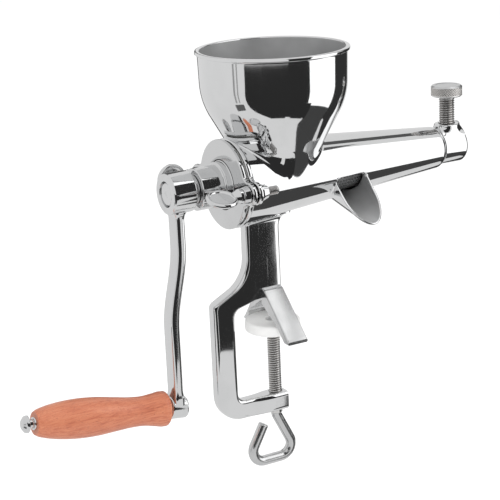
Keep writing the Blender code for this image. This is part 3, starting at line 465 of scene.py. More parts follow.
def mouldedPlastic(name, colour, shadeColour, rough=0.38):
    # moulded surface: fine orange peel, slight mottling and scuffs
    recipe = Recipe(name)
    mottle = recipe.ranged(recipe.noise(90.0, 3.0), 0.35, 0.7, 0.0, 1.0)
    peel = recipe.noise(1500.0, 2.0)
    scuff = recipe.ranged(recipe.noise(260.0, 4.0), 0.6, 0.75, 0.0, 1.0)
    return recipe.done(
        Base_Color=recipe.blend(mottle * 0.6 + scuff * 0.25, colour, shadeColour),
        Roughness=rough + mottle * 0.08 + scuff * 0.15,
        Normal=recipe.bump(peel, 0.00002, 0.6),
    )


def softRubber(name, colour, dust):
    recipe = Recipe(name)
    speck = recipe.ranged(recipe.noise(1200.0, 3.0), 0.45, 0.75, 0.0, 1.0)
    patch = recipe.noise(130.0, 2.0)
    return recipe.done(
        Base_Color=recipe.blend(speck * 0.5 + patch * 0.2, colour, dust),
        Roughness=0.62 + patch * 0.18,
        Normal=recipe.bump(speck, 0.00003, 0.7),
    )


def turnedBronze(name):
    recipe = Recipe(name, metallic=1.0)
    rings = recipe.noise(2400.0, 2.0, recipe.stretched((1.0, 0.03, 0.03)))
    stain = recipe.ranged(recipe.noise(210.0, 3.0), 0.4, 0.7, 0.0, 1.0)
    return recipe.done(
        Base_Color=recipe.blend(stain, (0.66, 0.42, 0.20), (0.36, 0.20, 0.09)),
        Roughness=0.3 + rings * 0.15 + stain * 0.12,
        Normal=recipe.bump(rings, 0.00001, 0.8),
    )


bodySteel = polishedSteel("polished_steel")
frameSteel = polishedSteel("polished_clamp_steel", 0.78, 0.05, 0.00006)
crankSteel = polishedSteel("polished_crank_steel", 0.76, 0.07, 0.00003)
coverSteel = polishedSteel("polished_cover_steel", 0.72, 0.06, 0.00004)
# inside of the hopper bowl, the barrel bore and the spout trough: a rougher satin finish, and a tone well below
# the outer polish as painted shade for the shade inside these hollows
insideSatinPaintedShade = satinSteel("satin_hopper_inside_painted_shade", 0.61, 0.40, (1.0, 1.0, 0.3), 0.000003, 0.90)
spoutSatinPaintedShade = satinSteel("satin_spout_inside_painted_shade", 0.60, 0.42, (0.3, 1.0, 1.0), 0.000003, 0.80)
footSteel = satinSteel("satin_jaw_steel", 0.72, 0.15, (1.0, 0.1, 0.1), 0.0000012)
knobSteel = satinSteel("nickel_knob", 0.70, 0.22, (1.0, 1.0, 0.3), 0.0000010)
hookSteel = satinSteel("bent_hook_steel", 0.70, 0.13, (0.3, 0.3, 0.3), 0.0000010)
augerSteel = satinSteel("ground_auger_steel", 0.55, 0.30, (0.2, 1.0, 1.0))
sieveSteel = satinSteel("perforated_sieve_steel", 0.42, 0.36, (0.2, 1.0, 1.0))
smallSteel = satinSteel("turned_washer_steel", 0.64, 0.22, (0.1, 1.0, 1.0))
gripWood = oiledWood("oiled_red_wood")
padPlastic = mouldedPlastic("white_pad_plastic", (0.84, 0.84, 0.83), (0.74, 0.74, 0.73))
washerNylon = mouldedPlastic("natural_nylon", (0.80, 0.78, 0.70), (0.70, 0.67, 0.58), 0.42)
pinkRubber = softRubber("pale_gasket_rubber", (0.60, 0.60, 0.58), (0.50, 0.49, 0.47))
sealRubber = softRubber("black_seal_rubber", (0.025, 0.025, 0.026), (0.07, 0.07, 0.07))
bushBronze = turnedBronze("oiled_bronze")
print("finishes made")


# ---- barrel, hopper and spout: thin sheet welded together

barrel = {"wall": 2.5, "smallRadius": 15.4, "endRound": 3.2, "columns": 256, "rows": 120}
bigRadius = (barrelHigh[2] - barrelLow[2]) / 2
barrelLength = barrelHigh[0] - barrelLow[0]


def barrelRadius(x):
    # even taper from the flange to the outlet
    return bigRadius + (x - barrelLow[0]) / barrelLength * (barrel["smallRadius"] - bigRadius)


def liftToBarrel(points, extra):
    # move points straight out from the barrel's axis onto its surface, plus extra
    offset = points[..., 1:] - np.array((0.0, axisZ))
    reach = np.linalg.norm(offset, axis=-1, keepdims=True)
    wanted = barrelRadius(points[..., :1]) + extra
    return np.concatenate([points[..., :1], np.array((0.0, axisZ)) + offset / reach * wanted], -1)


def easedCurve(first, middle, last, steps):
    # quadratic curve for every column: (1-t)^2 first + 2t(1-t) middle + t^2 last
    t = np.linspace(0, 1, steps + 1).reshape(-1, 1, 1)
    return (1 - t) ** 2 * first + 2 * t * (1 - t) * middle + t ** 2 * last


def weldFillet(edge, outward, upward, size, steps=7):
    # from the barrel's skin through the corner and up the joined wall
    return easedCurve(liftToBarrel(edge + outward * size, 0.0), edge, edge + upward * size, steps)


def roundBarrel(points, turn):
    # points on the barrel's skin slid down round its axis by an angle for each column
    side = np.where(points[:, 1] < 0, -1.0, 1.0)
    angle = np.arctan2(points[:, 2] - axisZ, np.abs(points[:, 1])) - turn
    radius = barrelRadius(points[:, 0])
    return np.stack([points[:, 0], side * radius * np.cos(angle), axisZ + radius * np.sin(angle)], 1)


hopper = {
    "radius": 52.4, "wall": 1.6, "straight": 23.0, "draft": math.radians(1.5),
    "bend": 50.0, "cone": math.radians(29.0), "lip": 1.6, "lipHeight": 2.8,
    "columns": 320, "fillet": 2.6, "keelTurn": math.radians(26.0), "keelRise": 3.2, "keelWidth": 3.5,
}
rimHeight = hopperHigh[2] - axisZ


def hopperWall(height, inset):
    # radius at a height over the barrel axis: a slight draft, an arc, then a straight cone
    straightEnd = rimHeight - hopper["straight"]
    bend = hopper["bend"] - inset
    radius = hopper["radius"] - inset
    middle = radius - hopper["straight"] * math.tan(hopper["draft"]) - bend * math.cos(hopper["draft"])
    level = straightEnd + bend * math.sin(hopper["draft"])
    drop = np.clip(level - height, 0, bend * math.sin(hopper["cone"]))
    onArc = middle + np.sqrt(bend ** 2 - drop ** 2)
    below = np.maximum(level - bend * math.sin(hopper["cone"]) - height, 0)
    onDraft = radius - (rimHeight - height) * math.tan(hopper["draft"])
    return np.where(height >= straightEnd, onDraft, onArc - below * math.tan(hopper["cone"]))


def hopperPoint(height, angle, inset):
    spot = standing(hopperX, axisZ)
    return revolve(hopperWall(height, inset), height, angle, spot)


def clearOfBarrel(points, extra):
    reach = np.hypot(points[..., 1], points[..., 2] - axisZ)
    return reach > barrelRadius(points[..., 0]) + extra


def makeHopper():
    angle = around(hopper["columns"])
    low = np.zeros_like(angle)
    high = low + 60.0
    foot = meetPoint(lambda h: clearOfBarrel(hopperPoint(h, angle, 0), 0), low, high)
    bore = meetPoint(lambda h: clearOfBarrel(hopperPoint(h, angle, hopper["wall"]), -barrel["wall"]), low, high)
    edge = hopperPoint(foot, angle, 0)[0]
    upward = hopperPoint(foot + 1.0, angle, 0)[0] - edge
    upward = upward / np.linalg.norm(upward, axis=-1, keepdims=True)
    outward = np.stack([np.cos(angle[0]), np.sin(angle[0]), 0 * angle[0]], -1)
    # the bowl comes down to a point on the front and the back of the barrel
    keel = np.abs(np.sin(angle[0])) ** hopper["keelWidth"]
    beside = liftToBarrel(edge + outward * hopper["fillet"] * (1 - keel[:, None]), 0.0)
    low = roundBarrel(beside, keel * hopper["keelTurn"])
    corner = edge + upward * (hopper["keelRise"] * keel[:, None]) + outward * keel[:, None]
    reach = hopper["fillet"] + 13.0 * keel
    fillet = easedCurve(low, corner, edge + upward * reach[:, None], 18)
    filletTop = foot + reach * upward[:, 2]
    lipLow = rimHeight - hopper["lipHeight"]
    share = column(np.linspace(0, 1, 90)[1:])
    wall = hopperPoint(filletTop + share * (lipLow - filletTop), angle, 0)
    outer = hopper["radius"] + hopper["lip"]
    inner = hopper["radius"] - hopper["wall"]
    lip = turned([
        (float(hopperWall(np.array(lipLow), 0)) + 0.02, lipLow + 0.02, 0),
        (outer - 0.9, lipLow + 0.05, 0.3), (outer, lipLow + 0.55, 0.7), (outer, rimHeight, 1.0),
        (inner, rimHeight, 0.75), (inner - 0.05, rimHeight - 2.0, 0),
    ], hopper["columns"], standing(hopperX, axisZ))
    inside = hopperPoint(rimHeight - 2.2 + share * (bore - rimHeight + 2.2), angle, hopper["wall"])
    sunk = liftToBarrel(fillet[:1], -1.0)
    grid = np.concatenate([sunk, fillet, wall, lip, inside])
    # the inside rows take the satin finish whose lower tone is painted shade
    paint = np.zeros(len(grid), int)
    paint[len(grid) - len(inside) - 2:len(grid) - 1] = 1
    made = solid("hopper_bowl", [(grid, True, paint)], 50)
    dress(made, [bodySteel, insideSatinPaintedShade], "mill_body", "polished_steel", "hopper")


spout = {
    "x": 56.3, "radius": 14.2, "wall": 1.6, "slope": math.radians(12.4), "reach": 50.0,
    "slant": math.radians(46.0), "columns": 220, "fillet": 2.2, "upper": 11.2, "squareness": 7,
}
spoutFloor = float(barrelRadius(spout["x"])) + 0.3
spoutStart = (spout["x"], 0, axisZ - spoutFloor + spout["radius"] / math.cos(spout["slope"]))
spoutSpot = spotAt(spoutStart, (0, -math.cos(spout["slope"]), -math.sin(spout["slope"])), (1, 0, 0))


def troughRadius(angle, inset):
    # half a circle below, a flatter box with round corners above: (|cos|/w)^n + (sin/h)^n = 1
    power = spout["squareness"]
    wide, tall = spout["radius"] - inset, spout["upper"] - inset
    box = (np.abs(np.cos(angle)) / wide) ** power + (np.maximum(np.sin(angle), 0) / tall) ** power
    return np.where(np.sin(angle) > 0, box ** (-1 / power), wide)


def makeSpout():
    angle = around(spout["columns"])
    low = np.zeros_like(angle)
    high = low + 60.0
    outer, inner = troughRadius(angle, 0.0), troughRadius(angle, spout["wall"])
    foot = meetPoint(lambda s: clearOfBarrel(revolve(outer, s, angle, spoutSpot), 0), low, high)
    bore = meetPoint(
        lambda s: clearOfBarrel(revolve(inner, s, angle, spoutSpot), -barrel["wall"]), low, high)
    lowest = float(barrelRadius(spout["x"])) + spout["reach"] * math.tan(spout["slope"])
    pivot = np.array((spout["x"], -spout["reach"], axisZ - lowest))
    facing = np.array((0, -math.sin(spout["slant"]), math.cos(spout["slant"])))
    base = revolve(outer, 0, angle, spoutSpot)
    mouth = ((pivot - base) @ facing) / (spoutSpot[3] @ facing)
    mouth = np.maximum(mouth, foot + 0.35)
    edge = revolve(outer, foot, angle, spoutSpot)[0]
    across = np.cos(angle[0])[:, None] * spoutSpot[1] + np.sin(angle[0])[:, None] * spoutSpot[2]
    size = np.clip((mouth - foot)[0] * 0.45, 0.05, spout["fillet"])[:, None]
    fillet = weldFillet(edge, across, spoutSpot[3], size)
    filletTop = foot + size.T
    share = column(np.linspace(0, 1, 40)[1:])
    rim = spout["wall"] / 2
    turn = column(np.linspace(0, math.pi, 11))
    outside = revolve(outer, filletTop + share * (mouth - rim - filletTop), angle, spoutSpot)
    lip = revolve(outer - rim + rim * np.cos(turn), mouth - rim + rim * np.sin(turn) * 0.9, angle, spoutSpot)
    inside = revolve(inner, mouth - rim + share * (bore - mouth + rim), angle, spoutSpot)
    sunk = liftToBarrel(fillet[:1], -1.0)
    grid = np.concatenate([sunk, fillet, outside, lip[1:], inside])
    # the inside rows take the satin finish whose lower tone is painted shade
    paint = np.zeros(len(grid), int)
    paint[len(grid) - len(inside) - 1:len(grid) - 1] = 1
    made = solid("juice_spout_scoop", [(grid, True, paint)], 60)
    dress(made, [bodySteel, spoutSatinPaintedShade], "mill_body", "polished_steel", "juice_spout")


def makeBarrel():
    small = barrel["smallRadius"]
    outerEnd = barrelHigh[0]
    x = np.linspace(barrelLow[0], outerEnd - 7.0, barrel["rows"])
    skin = np.stack([barrelRadius(x), x], 1)
    nose = softCorners([
        (float(barrelRadius(outerEnd - 6.5)), outerEnd - 6.5, 0),
        (float(barrelRadius(outerEnd - 3.0)), outerEnd - 3.0, 6.0),
        (small - 1.9, outerEnd - 0.35, 0.5), (small - 2.3, outerEnd, 0),
    ])
    back = x[::-1]
    bore = np.stack([barrelRadius(back) - barrel["wall"], back], 1)
    bore = np.vstack([[(small - 2.45, outerEnd)], bore])
    outline = np.vstack([skin, nose, bore])
    grid = revolve(outline[:, :1], outline[:, 1:], around(barrel["columns"]), onBarrelAxis)
    # the bore rows take the satin finish whose lower tone is painted shade
    paint = np.zeros(len(outline), int)
    paint[len(skin) + len(nose) + 1:] = 1
    made = solid("barrel_shell", [(grid, True, paint)], 50)

    middle = hopper["wall"] * 0.5
    angle = around(96)
    top = column([0.5, 30.0, 60.0])
    cone = shut(hopperPoint(top, angle, middle))
    coneCutter = solid("throat_cutter", [(cone, False, 0)])
    tube = revolve(troughRadius(angle, spout["wall"] * 0.5), column([4.0, 70.0]), angle, spoutSpot)
    tubeCutter = solid("opening_cutter", [(shut(tube), False, 0)])
    carve(made, coneCutter, tubeCutter)
    dress(made, [bodySteel, insideSatinPaintedShade], "mill_body", "polished_steel", "barrel")


makeBarrel()
makeHopper()
makeSpout()
print("barrel, hopper and spout made")


# ---- flange, cover plate, neck

plate = {
    "radius": 31.6, "earRadius": 8.0, "earFillet": 6.0, "edge": 0.9, "columns": 288,
    "neck": 14.8, "collar": 16.5, "collarWidth": 4.5, "bore": 8.0,
}
earNear = boxOf("thumb_collar_near")
earOffset = -(earNear[0][1] + earNear[1][1]) / 2


def earedOutline(count):
    # disc with a round ear on each side and hollow fillets between, as points round the rim
    radius, ear, fillet = plate["radius"], plate["earRadius"], plate["earFillet"]
    discReach, earReach = radius + fillet, ear + fillet
    discSide = earOffset ** 2 + discReach ** 2 - earReach ** 2
    earSide = earOffset ** 2 + earReach ** 2 - discReach ** 2
    atDisc = math.acos(discSide / (2 * earOffset * discReach))
    atEar = math.pi - math.acos(earSide / (2 * earOffset * earReach))
    parts = []
    for heading in (0.0, math.pi):
        for along, size, side, start, end in (
            (discReach, fillet, heading - atDisc, heading - atDisc + math.pi, heading - atEar + math.pi),
            (earOffset, ear, heading, heading - atEar, heading + atEar),
            (discReach, fillet, heading + atDisc, heading + atEar + math.pi, heading + atDisc + math.pi),
            (0.0, radius, heading, heading + atDisc, heading + math.pi - atDisc),
        ):
            turn = np.linspace(start, end, 60)
            middle = along * np.array((math.cos(side), math.sin(side)))
            parts.append(middle + size * np.stack([np.cos(turn), np.sin(turn)], 1))
    loop = np.vstack(parts + [parts[0][:1]])
    return evenly(loop, np.linalg.norm(np.diff(loop, axis=0), axis=1).sum() / count)[:count]


def earedPlate(low, high, bore):
    # rim outline moved inward along its normal for the rounded edges, then in to the bore
    rim = earedOutline(plate["columns"])
    tangent = np.roll(rim, -1, 0) - np.roll(rim, 1, 0)
    tangent = tangent / np.linalg.norm(tangent, axis=1, keepdims=True)
    inward = np.stack([-tangent[:, 1], tangent[:, 0]], 1)
    edge = plate["edge"]
    turn = np.linspace(0, quarterTurn, 6)
    inset = np.concatenate([edge * (1 - np.cos(turn)), [edge + 0.3]])
    level = np.concatenate([high - edge + edge * np.sin(turn), [high]])
    bend = np.concatenate([inset[::-1], inset])
    heights = np.concatenate([level[::-1], low + high - level])
    flat = rim[None] + bend[:, None, None] * inward[None]
    aim = rim / np.linalg.norm(rim, axis=1, keepdims=True) * bore
    steps = np.linspace(0, 1, 5)[1:].reshape(-1, 1, 1)
    front = flat[-1] + steps * (aim - flat[-1])
    rows = np.concatenate([flat, front, (flat[0] + steps * (aim - flat[0]))[::-1]])
    heights = np.concatenate([heights, np.full(4, low), np.full(4, high)])
    x = np.broadcast_to(heights[:, None, None], rows.shape[:2] + (1,))
    return np.concatenate([x, rows[..., :1], axisZ + rows[..., 1:]], -1)


def makePlates():
    low, high = boxOf("body_flange")
    flange = earedPlate(low[0], high[0], float(barrelRadius(barrelLow[0])) - barrel["wall"])
    x = high[0]
    bead = turned([
        (bigRadius - 1.5, x - 1.0, 0), (bigRadius + 1.0, x - 0.02, 0.3),
        (bigRadius - 0.1, x + 1.3, 0.8), (bigRadius - 1.5, x + 2.2, 0),
    ], 200, onBarrelAxis)
    made = solid("body_flange_plate", [(flange, True, 0), (bead, True, 0)], 50)
    dress(made, [bodySteel], "mill_body", "polished_steel", "body_flange")

    low, high = boxOf("cover_plate")
    neckEnd = low[0]
    back = high[0]
    front = back - 3.2
    face = earedPlate(front, back, plate["bore"])
    collar, neck = plate["collar"], plate["neck"]
    sleeve = turned([
        (plate["bore"], back - 0.6, 0), (collar + 1.6, back - 0.6, 0), (collar + 1.4, front, 0),
        (collar, front, 1.2), (collar, front - plate["collarWidth"], 0.6),
        (neck, front - plate["collarWidth"] - 0.5, 0.9), (neck, neckEnd + 6.0, 0),
        (neck, neckEnd, 0.9), (plate["bore"], neckEnd, 0.4), (plate["bore"], neckEnd + 2.0, 0),
    ], 200, onBarrelAxis)
    made = solid("cover_plate_and_neck", [(face, True, 0), (sleeve, True, 0)], 50)
    dress(made, [coverSteel], "mill_body", "polished_steel", "cover_plate")


makePlates()
print("flange and cover made")


# ---- auger behind the hopper and spout, and the sieve round it

auger = {
    "shaft": 6.0, "collar": 13.0, "coreBig": 9.0, "coreSmall": 5.5, "pitch": 27.0,
    "blade": 3.2, "tipInset": 5.9, "square": 8.4,
}


def makeAuger():
    low, high = boxOf("auger")
    collarStart = boxOf("thrust_washer")[1][0] + 0.3
    flightStart = collarStart + 4.0
    flightEnd = high[0] - 1.5
    squareStart = boxOf("crank_washer")[0][0]
    corner = auger["square"] / math.sqrt(2)
    core = turned([
        (0, high[0], 0), (auger["coreSmall"], high[0], 1.2), (auger["coreBig"], flightStart, 2.0),
        (auger["collar"], flightStart, 0.8), (auger["collar"], collarStart, 0.5),
        (auger["shaft"], collarStart, 0.3), (auger["shaft"], squareStart + 0.6, 0.3),
        (auger["shaft"] - 0.6, squareStart + 0.2, 0), (0, squareStart + 0.2, 0),
    ], 128, onBarrelAxis)
    ring = around(64)
    across = np.maximum(np.abs(np.cos(ring)), np.abs(np.sin(ring)))
    squareRadius = np.minimum(auger["square"] / 2 / across, corner * 0.97)
    drive = shut(revolve(squareRadius, column([low[0], squareStart + 1.0]), ring, onBarrelAxis))

    blade = auger["blade"]
    turns = (flightEnd - flightStart - blade) / auger["pitch"]
    angle = np.linspace(0, fullTurn * turns, int(turns * 72))
    x = flightStart + auger["pitch"] * angle / fullTurn
    tip = column(barrelRadius(x + blade) - auger["tipInset"])
    span = (x - flightStart) / (flightEnd - flightStart)
    root = column(auger["coreBig"] + span * (auger["coreSmall"] - auger["coreBig"]) - 1.5)
    section = softCorners([(0, 0, 0), (1, 0.9, 0.25), (1, blade - 0.9, 0.25), (0, blade, 0)], 4, 0.05)
    radius = root + section[:, 0][None] * (tip - root)
    flight = revolve(radius, column(x) + section[:, 1][None], column(angle), onBarrelAxis)
    made = solid("auger_screw", [(core, False, 0), (drive, False, 0), (shut(flight), False, 0)], 45)
    dress(made, [augerSteel], "crank", "satin_steel", "auger")


sieve = {"gap": 1.8, "wall": 1.0, "pitch": 2.5, "hole": 0.62, "plainEnd": 6.0}


def makeSieve():
    # every cell is a square ring of eight faces round an eight-sided hole, on both skins
    low, high = boxOf("strainer")
    start, end = low[0], high[0]
    across = int(fullTurn * (barrelRadius((start + end) / 2) - barrel["wall"] - sieve["gap"]) / sieve["pitch"])
    along = int((end - start - 2 * sieve["plainEnd"]) / sieve["pitch"])
    turn = np.arange(8) * fullTurn / 8
    ring = np.stack([np.cos(turn), np.sin(turn)], 1)
    square = ring / np.abs(ring).max(1)[:, None] / 2
    hole = ring * sieve["hole"] / sieve["pitch"]
    i, j = np.meshgrid(np.arange(along), np.arange(across), indexing="ij")
    middle = np.stack([i, j + 0.0 * i], -1).reshape(-1, 1, 2) + 0.5
    cell = np.concatenate([middle + square, middle + hole], 1)
    x = start + sieve["plainEnd"] + cell[..., 0] / along * (end - start - 2 * sieve["plainEnd"])
    angle = cell[..., 1] / across * fullTurn
    outer = barrelRadius(x) - barrel["wall"] - sieve["gap"]
    skins = np.stack([revolve(outer - inset, x, angle, onBarrelAxis) for inset in (0, sieve["wall"])], 1)
    k = np.arange(8)
    n = (k + 1) % 8
    faces = np.concatenate([
        np.stack([k, n, n + 8, k + 8], 1), np.stack([k + 24, n + 24, n + 16, k + 16], 1),
        np.stack([k + 8, n + 8, n + 24, k + 24], 1),
    ])
    quads = (np.arange(len(middle)).reshape(-1, 1, 1) * 32 + faces).reshape(-1, 4)
    bands = []
    for a, b in ((start, start + sieve["plainEnd"]), (end - sieve["plainEnd"], end)):
        first = np.array([a, b])
        outline = np.stack([barrelRadius(first) - barrel["wall"] - sieve["gap"], first], 1)
        loop = np.vstack([outline, (outline - (sieve["wall"], 0))[::-1]])
        order = [1, 0, 3, 2] if a == start else [0, 1, 2, 3]
        bands.append(revolve(loop[order][:, :1], loop[order][:, 1:], around(2 * across), onBarrelAxis))
    count = len(middle) * 32
    bandFaces, bandPoints = [], []
    for band in bands:
        bandFaces.append(gridFaces(4, 2 * across, False) + count)
        bandPoints.append(band.reshape(-1, 3))
        count += 8 * across
    mesh = bpy.data.meshes.new("perforated_sieve")
    points = np.vstack([skins.reshape(-1, 3)] + bandPoints)
    mesh.from_pydata(points * 0.001, [], np.vstack([quads] + bandFaces))
    tidyMesh(mesh, 40)
    made = placed("perforated_sieve", mesh)
    dress(made, [sieveSteel], "mill_body", "satin_steel", "strainer")


makeAuger()
makeSieve()
print("auger and sieve made")


# ---- outlet cap with its boss, and the knurled pressure screw

cap = {"radius": 13.4, "round": 3.0, "hole": 7.5, "boss": 9.6, "bossHeight": 17.0, "blend": 4.2,
       "screwBore": 6.3, "boreFloor": 6.0}
screwLow, screwHigh = boxOf("adjusting_screw")
screwX = (screwLow[0] + screwHigh[0]) / 2


def makeCap():
    low, high = boxOf("outlet_cap")
    start, end = low[0], high[0]
    body = turned([
        (cap["hole"], end - 0.2, 0), (cap["hole"], end, 0.5), (cap["radius"], end, cap["round"]),
        (cap["radius"], start, 0.35), (cap["hole"], start, 0), (cap["hole"], end - 0.2, 0),
    ], 160, onBarrelAxis)
    angle = around(160)
    blend = cap["blend"]
    lean = column(np.linspace(0, quarterTurn, 10))
    radius = cap["boss"] + blend * (1 - np.sin(lean))
    skin = np.sqrt(np.maximum(cap["radius"] ** 2 - (radius * np.sin(angle)) ** 2, 0.0))
    spot = standing(screwX, axisZ)
    foot = revolve(radius, skin + blend * (1 - np.cos(lean)) - 0.1, angle, spot)
    foot[..., 0] = np.clip(foot[..., 0], start + 0.3, end - 0.8)
    top, bore = cap["bossHeight"], cap["screwBore"]
    upper = turned([
        (cap["boss"], top - 3.4, 0), (cap["boss"], top, 1.5), (bore, top, 0.4),
        (bore, top - 1.5, 0), (bore, cap["boreFloor"], 0),
    ], 160, spot)
    inner = revolve(bore, column([cap["boreFloor"]]), angle, spot)
    base = revolve(cap["boss"], column([cap["boreFloor"]]), angle, spot)
    boss = np.concatenate([base, foot, upper, inner])
    made = solid("outlet_cap_body", [(body, False, 0), (boss, True, 0)], 50)
    dress(made, [bodySteel], "mill_body", "polished_steel", "outlet_cap")


knob = {"radius": 11.7, "height": 8.3, "shank": 5.9, "pitch": 1.75, "thread": 0.95, "teeth": 40, "knurl": 0.5}


def makeKnob():
    count = knob["teeth"] * 6
    spot = standing(screwX)
    top = screwHigh[2]
    low = top - knob["height"]
    tip = screwLow[2]
    angle = around(count)
    radius = knob["radius"]
    height = column(np.linspace(top - 1.2, low + 0.9, 40))
    step = fullTurn * radius / knob["teeth"]
    first = np.abs(((angle * knob["teeth"] / fullTurn + height / step) % 1.0) * 2 - 1)
    second = np.abs(((angle * knob["teeth"] / fullTurn - height / step) % 1.0) * 2 - 1)
    fade = np.clip((top - 1.2 - height) / 0.5, 0, 1) * np.clip((height - low - 0.9) / 0.5, 0, 1)
    knurl = radius - fade * knob["knurl"] * (1 - np.minimum(first, second))
    face = softCorners([
        (0, top - 0.35, 0), (radius - 3.4, top - 0.35, 0.5), (radius - 2.9, top, 0.4),
        (radius - 1.1, top, 0.3), (radius, top - 1.1, 0.25), (radius, top - 1.2, 0),
    ])
    under = softCorners([
        (radius, low + 0.9, 0), (radius, low + 0.8, 0.2), (radius - 0.9, low, 0.3),
        (knob["shank"] + 0.4, low, 0.3), (knob["shank"], low - 0.6, 0),
    ])
    shank = threaded(knob["shank"], low - 0.7, tip + 1.0, knob["pitch"], knob["thread"], count, 10)
    end = softCorners([(knob["shank"] - 0.2, tip + 0.8, 0), (knob["shank"] - 1.0, tip, 0.2), (0, tip, 0)])
    parts = [rowsOf(face, count), (knurl, height + 0 * angle), rowsOf(under, count), shank, rowsOf(end, count)]
    rows = [len(part[0]) for part in parts]
    paint = np.repeat([0, 1, 0, 2, 0], rows)[:-1]
    onAxis = (screwX, 0, 0), (1.0, 1.0, 0.0)
    rolled = threadedSteel("rolled_adjuster_thread", *onAxis, knob["shank"], knob["thread"])
    cut = threadedSteel("cut_diamond_knurl", *onAxis, radius, knob["knurl"], 0.92, 0.2, 0.45)
    made = solid("knurled_pressure_screw", [(stacked(parts, spot), False, paint)], 60)
    dress(made, [knobSteel, cut, rolled], "adjusting_screw", "satin_steel", "adjusting_screw")


makeCap()
makeKnob()
print("outlet made")


# ---- crank, hub and wooden grip

crank = {
    "length": 155.0, "hub": 14.3, "hubLength": 17.8, "recess": 8.9, "recessDepth": 3.6,
    "thickness": 7.0, "width": 14.0, "offset": 8.5, "bendStart": 38.0, "bendLength": 58.0,
    "edge": 2.6, "boss": 8.0, "bossLength": 13.0, "lean": gripLean,
}
hubBack = boxOf("crank_washer")[0][0] - 0.3
hubFront = hubBack - crank["hubLength"]
armTopX = hubBack - 0.58 * crank["hubLength"]
bossMiddle = (armTopX - crank["offset"], 0, axisZ - crank["length"])
gripAxis = (-math.cos(crank["lean"]), 0, math.sin(crank["lean"]))
gripSpot = spotAt(bossMiddle, gripAxis, (0, 0, 1))


def makeCrank():
    hub, recess = crank["hub"], crank["recess"]
    floor = hubFront + crank["recessDepth"]
    shell = turned([
        (4.6, hubBack, 0), (hub, hubBack, 0.9), (hub, hubFront, 1.6), (recess, hubFront, 0.7),
        (recess, floor, 0.2), (3.3, floor, 0), (3.3, floor + 3.0, 0), (4.6, floor + 3.0, 0),
    ], 200, onBarrelAxis)
    depth = np.linspace(hub * 0.72, crank["length"], 160)
    share = np.clip((depth - crank["bendStart"]) / crank["bendLength"], 0, 1)
    centre = armTopX - crank["offset"] * share * share * (3 - 2 * share)
    half = crank["thickness"] / 2
    left = np.stack([centre - half, axisZ - depth], 1)
    right = np.stack([centre + half, axisZ - depth], 1)
    flare = np.clip(1 - (depth - hub * 0.92) / 5.0, 0, 1) ** 2
    foot = np.clip(1 - (crank["length"] - depth - crank["boss"]) / 6.0, 0, 1) ** 2
    left[:, 0] -= 1.5 * flare + 0.8 * foot
    right[:, 0] += 1.5 * flare + 0.8 * foot
    wide = crank["width"] / 2 + 0.9 * flare + 0.35 * foot
    arm = shut(ribbon(left, right, wide, crank["edge"], 0.0, crossSection, 8, 6))
    end = crank["bossLength"] / 2
    eye = turned([
        (3.45, end, 0), (crank["boss"], end, 1.4), (crank["boss"], -end, 1.4), (3.45, -end, 0),
    ], 120, gripSpot)
    made = solid("crank_handle_arm", [(shell, True, 0), (arm, False, 0), (eye, True, 0)], 50)
    dress(made, [crankSteel], "crank", "polished_steel", "crank_arm")

    head = boxOf("crank_screw")
    radius = recess - 0.3
    back = floor - 0.3
    front = head[0][0]
    cone = turned([
        (0, front + 0.75, 0), (1.6, front + 0.75, 0.5), (2.3, front + 0.1, 0.4),
        (radius - 1.2, front + 0.25, 0.8), (radius, back - 0.6, 0.4), (radius, back, 0.2),
        (3.0, back, 0.1), (3.0, head[1][0], 0.5), (0, head[1][0], 0),
    ], 128, onBarrelAxis)
    made = solid("crank_retaining_screw", [(cone, False, 0)], 50)
    dress(made, [crankSteel], "crank", "satin_steel", "crank_screw")

    low, high = boxOf("crank_washer")
    inner, outer = 6.3, (high[2] - low[2]) / 2
    washer = turned([
        (inner, low[0] + 1.0, 0), (inner, low[0], 0.2), (outer, low[0], 0.5), (outer, high[0], 0.5),
        (inner, high[0], 0.2), (inner, low[0] + 1.0, 0),
    ], 128, onBarrelAxis)
    made = solid("crank_spacer_ring", [(washer, False, 0)], 50)
    dress(made, [smallSteel], "crank", "satin_steel", "crank_washer")


grip = {"length": 99.5, "radius": 13.7, "bore": 3.45, "start": 8.1, "stem": 3.15, "head": 6.1, "exposed": 4.8}


def smoothThrough(known, values, wanted):
    # cubic pieces through the known points with slopes from their neighbours
    slope = np.gradient(values, known)
    i = np.clip(np.searchsorted(known, wanted) - 1, 0, len(known) - 2)
    span = known[i + 1] - known[i]
    t = (wanted - known[i]) / span
    rise = (1 + 2 * t) * (1 - t) ** 2 * values[i] + t * (1 - t) ** 2 * span * slope[i]
    return rise + t ** 2 * (3 - 2 * t) * values[i + 1] + t ** 2 * (t - 1) * span * slope[i + 1]


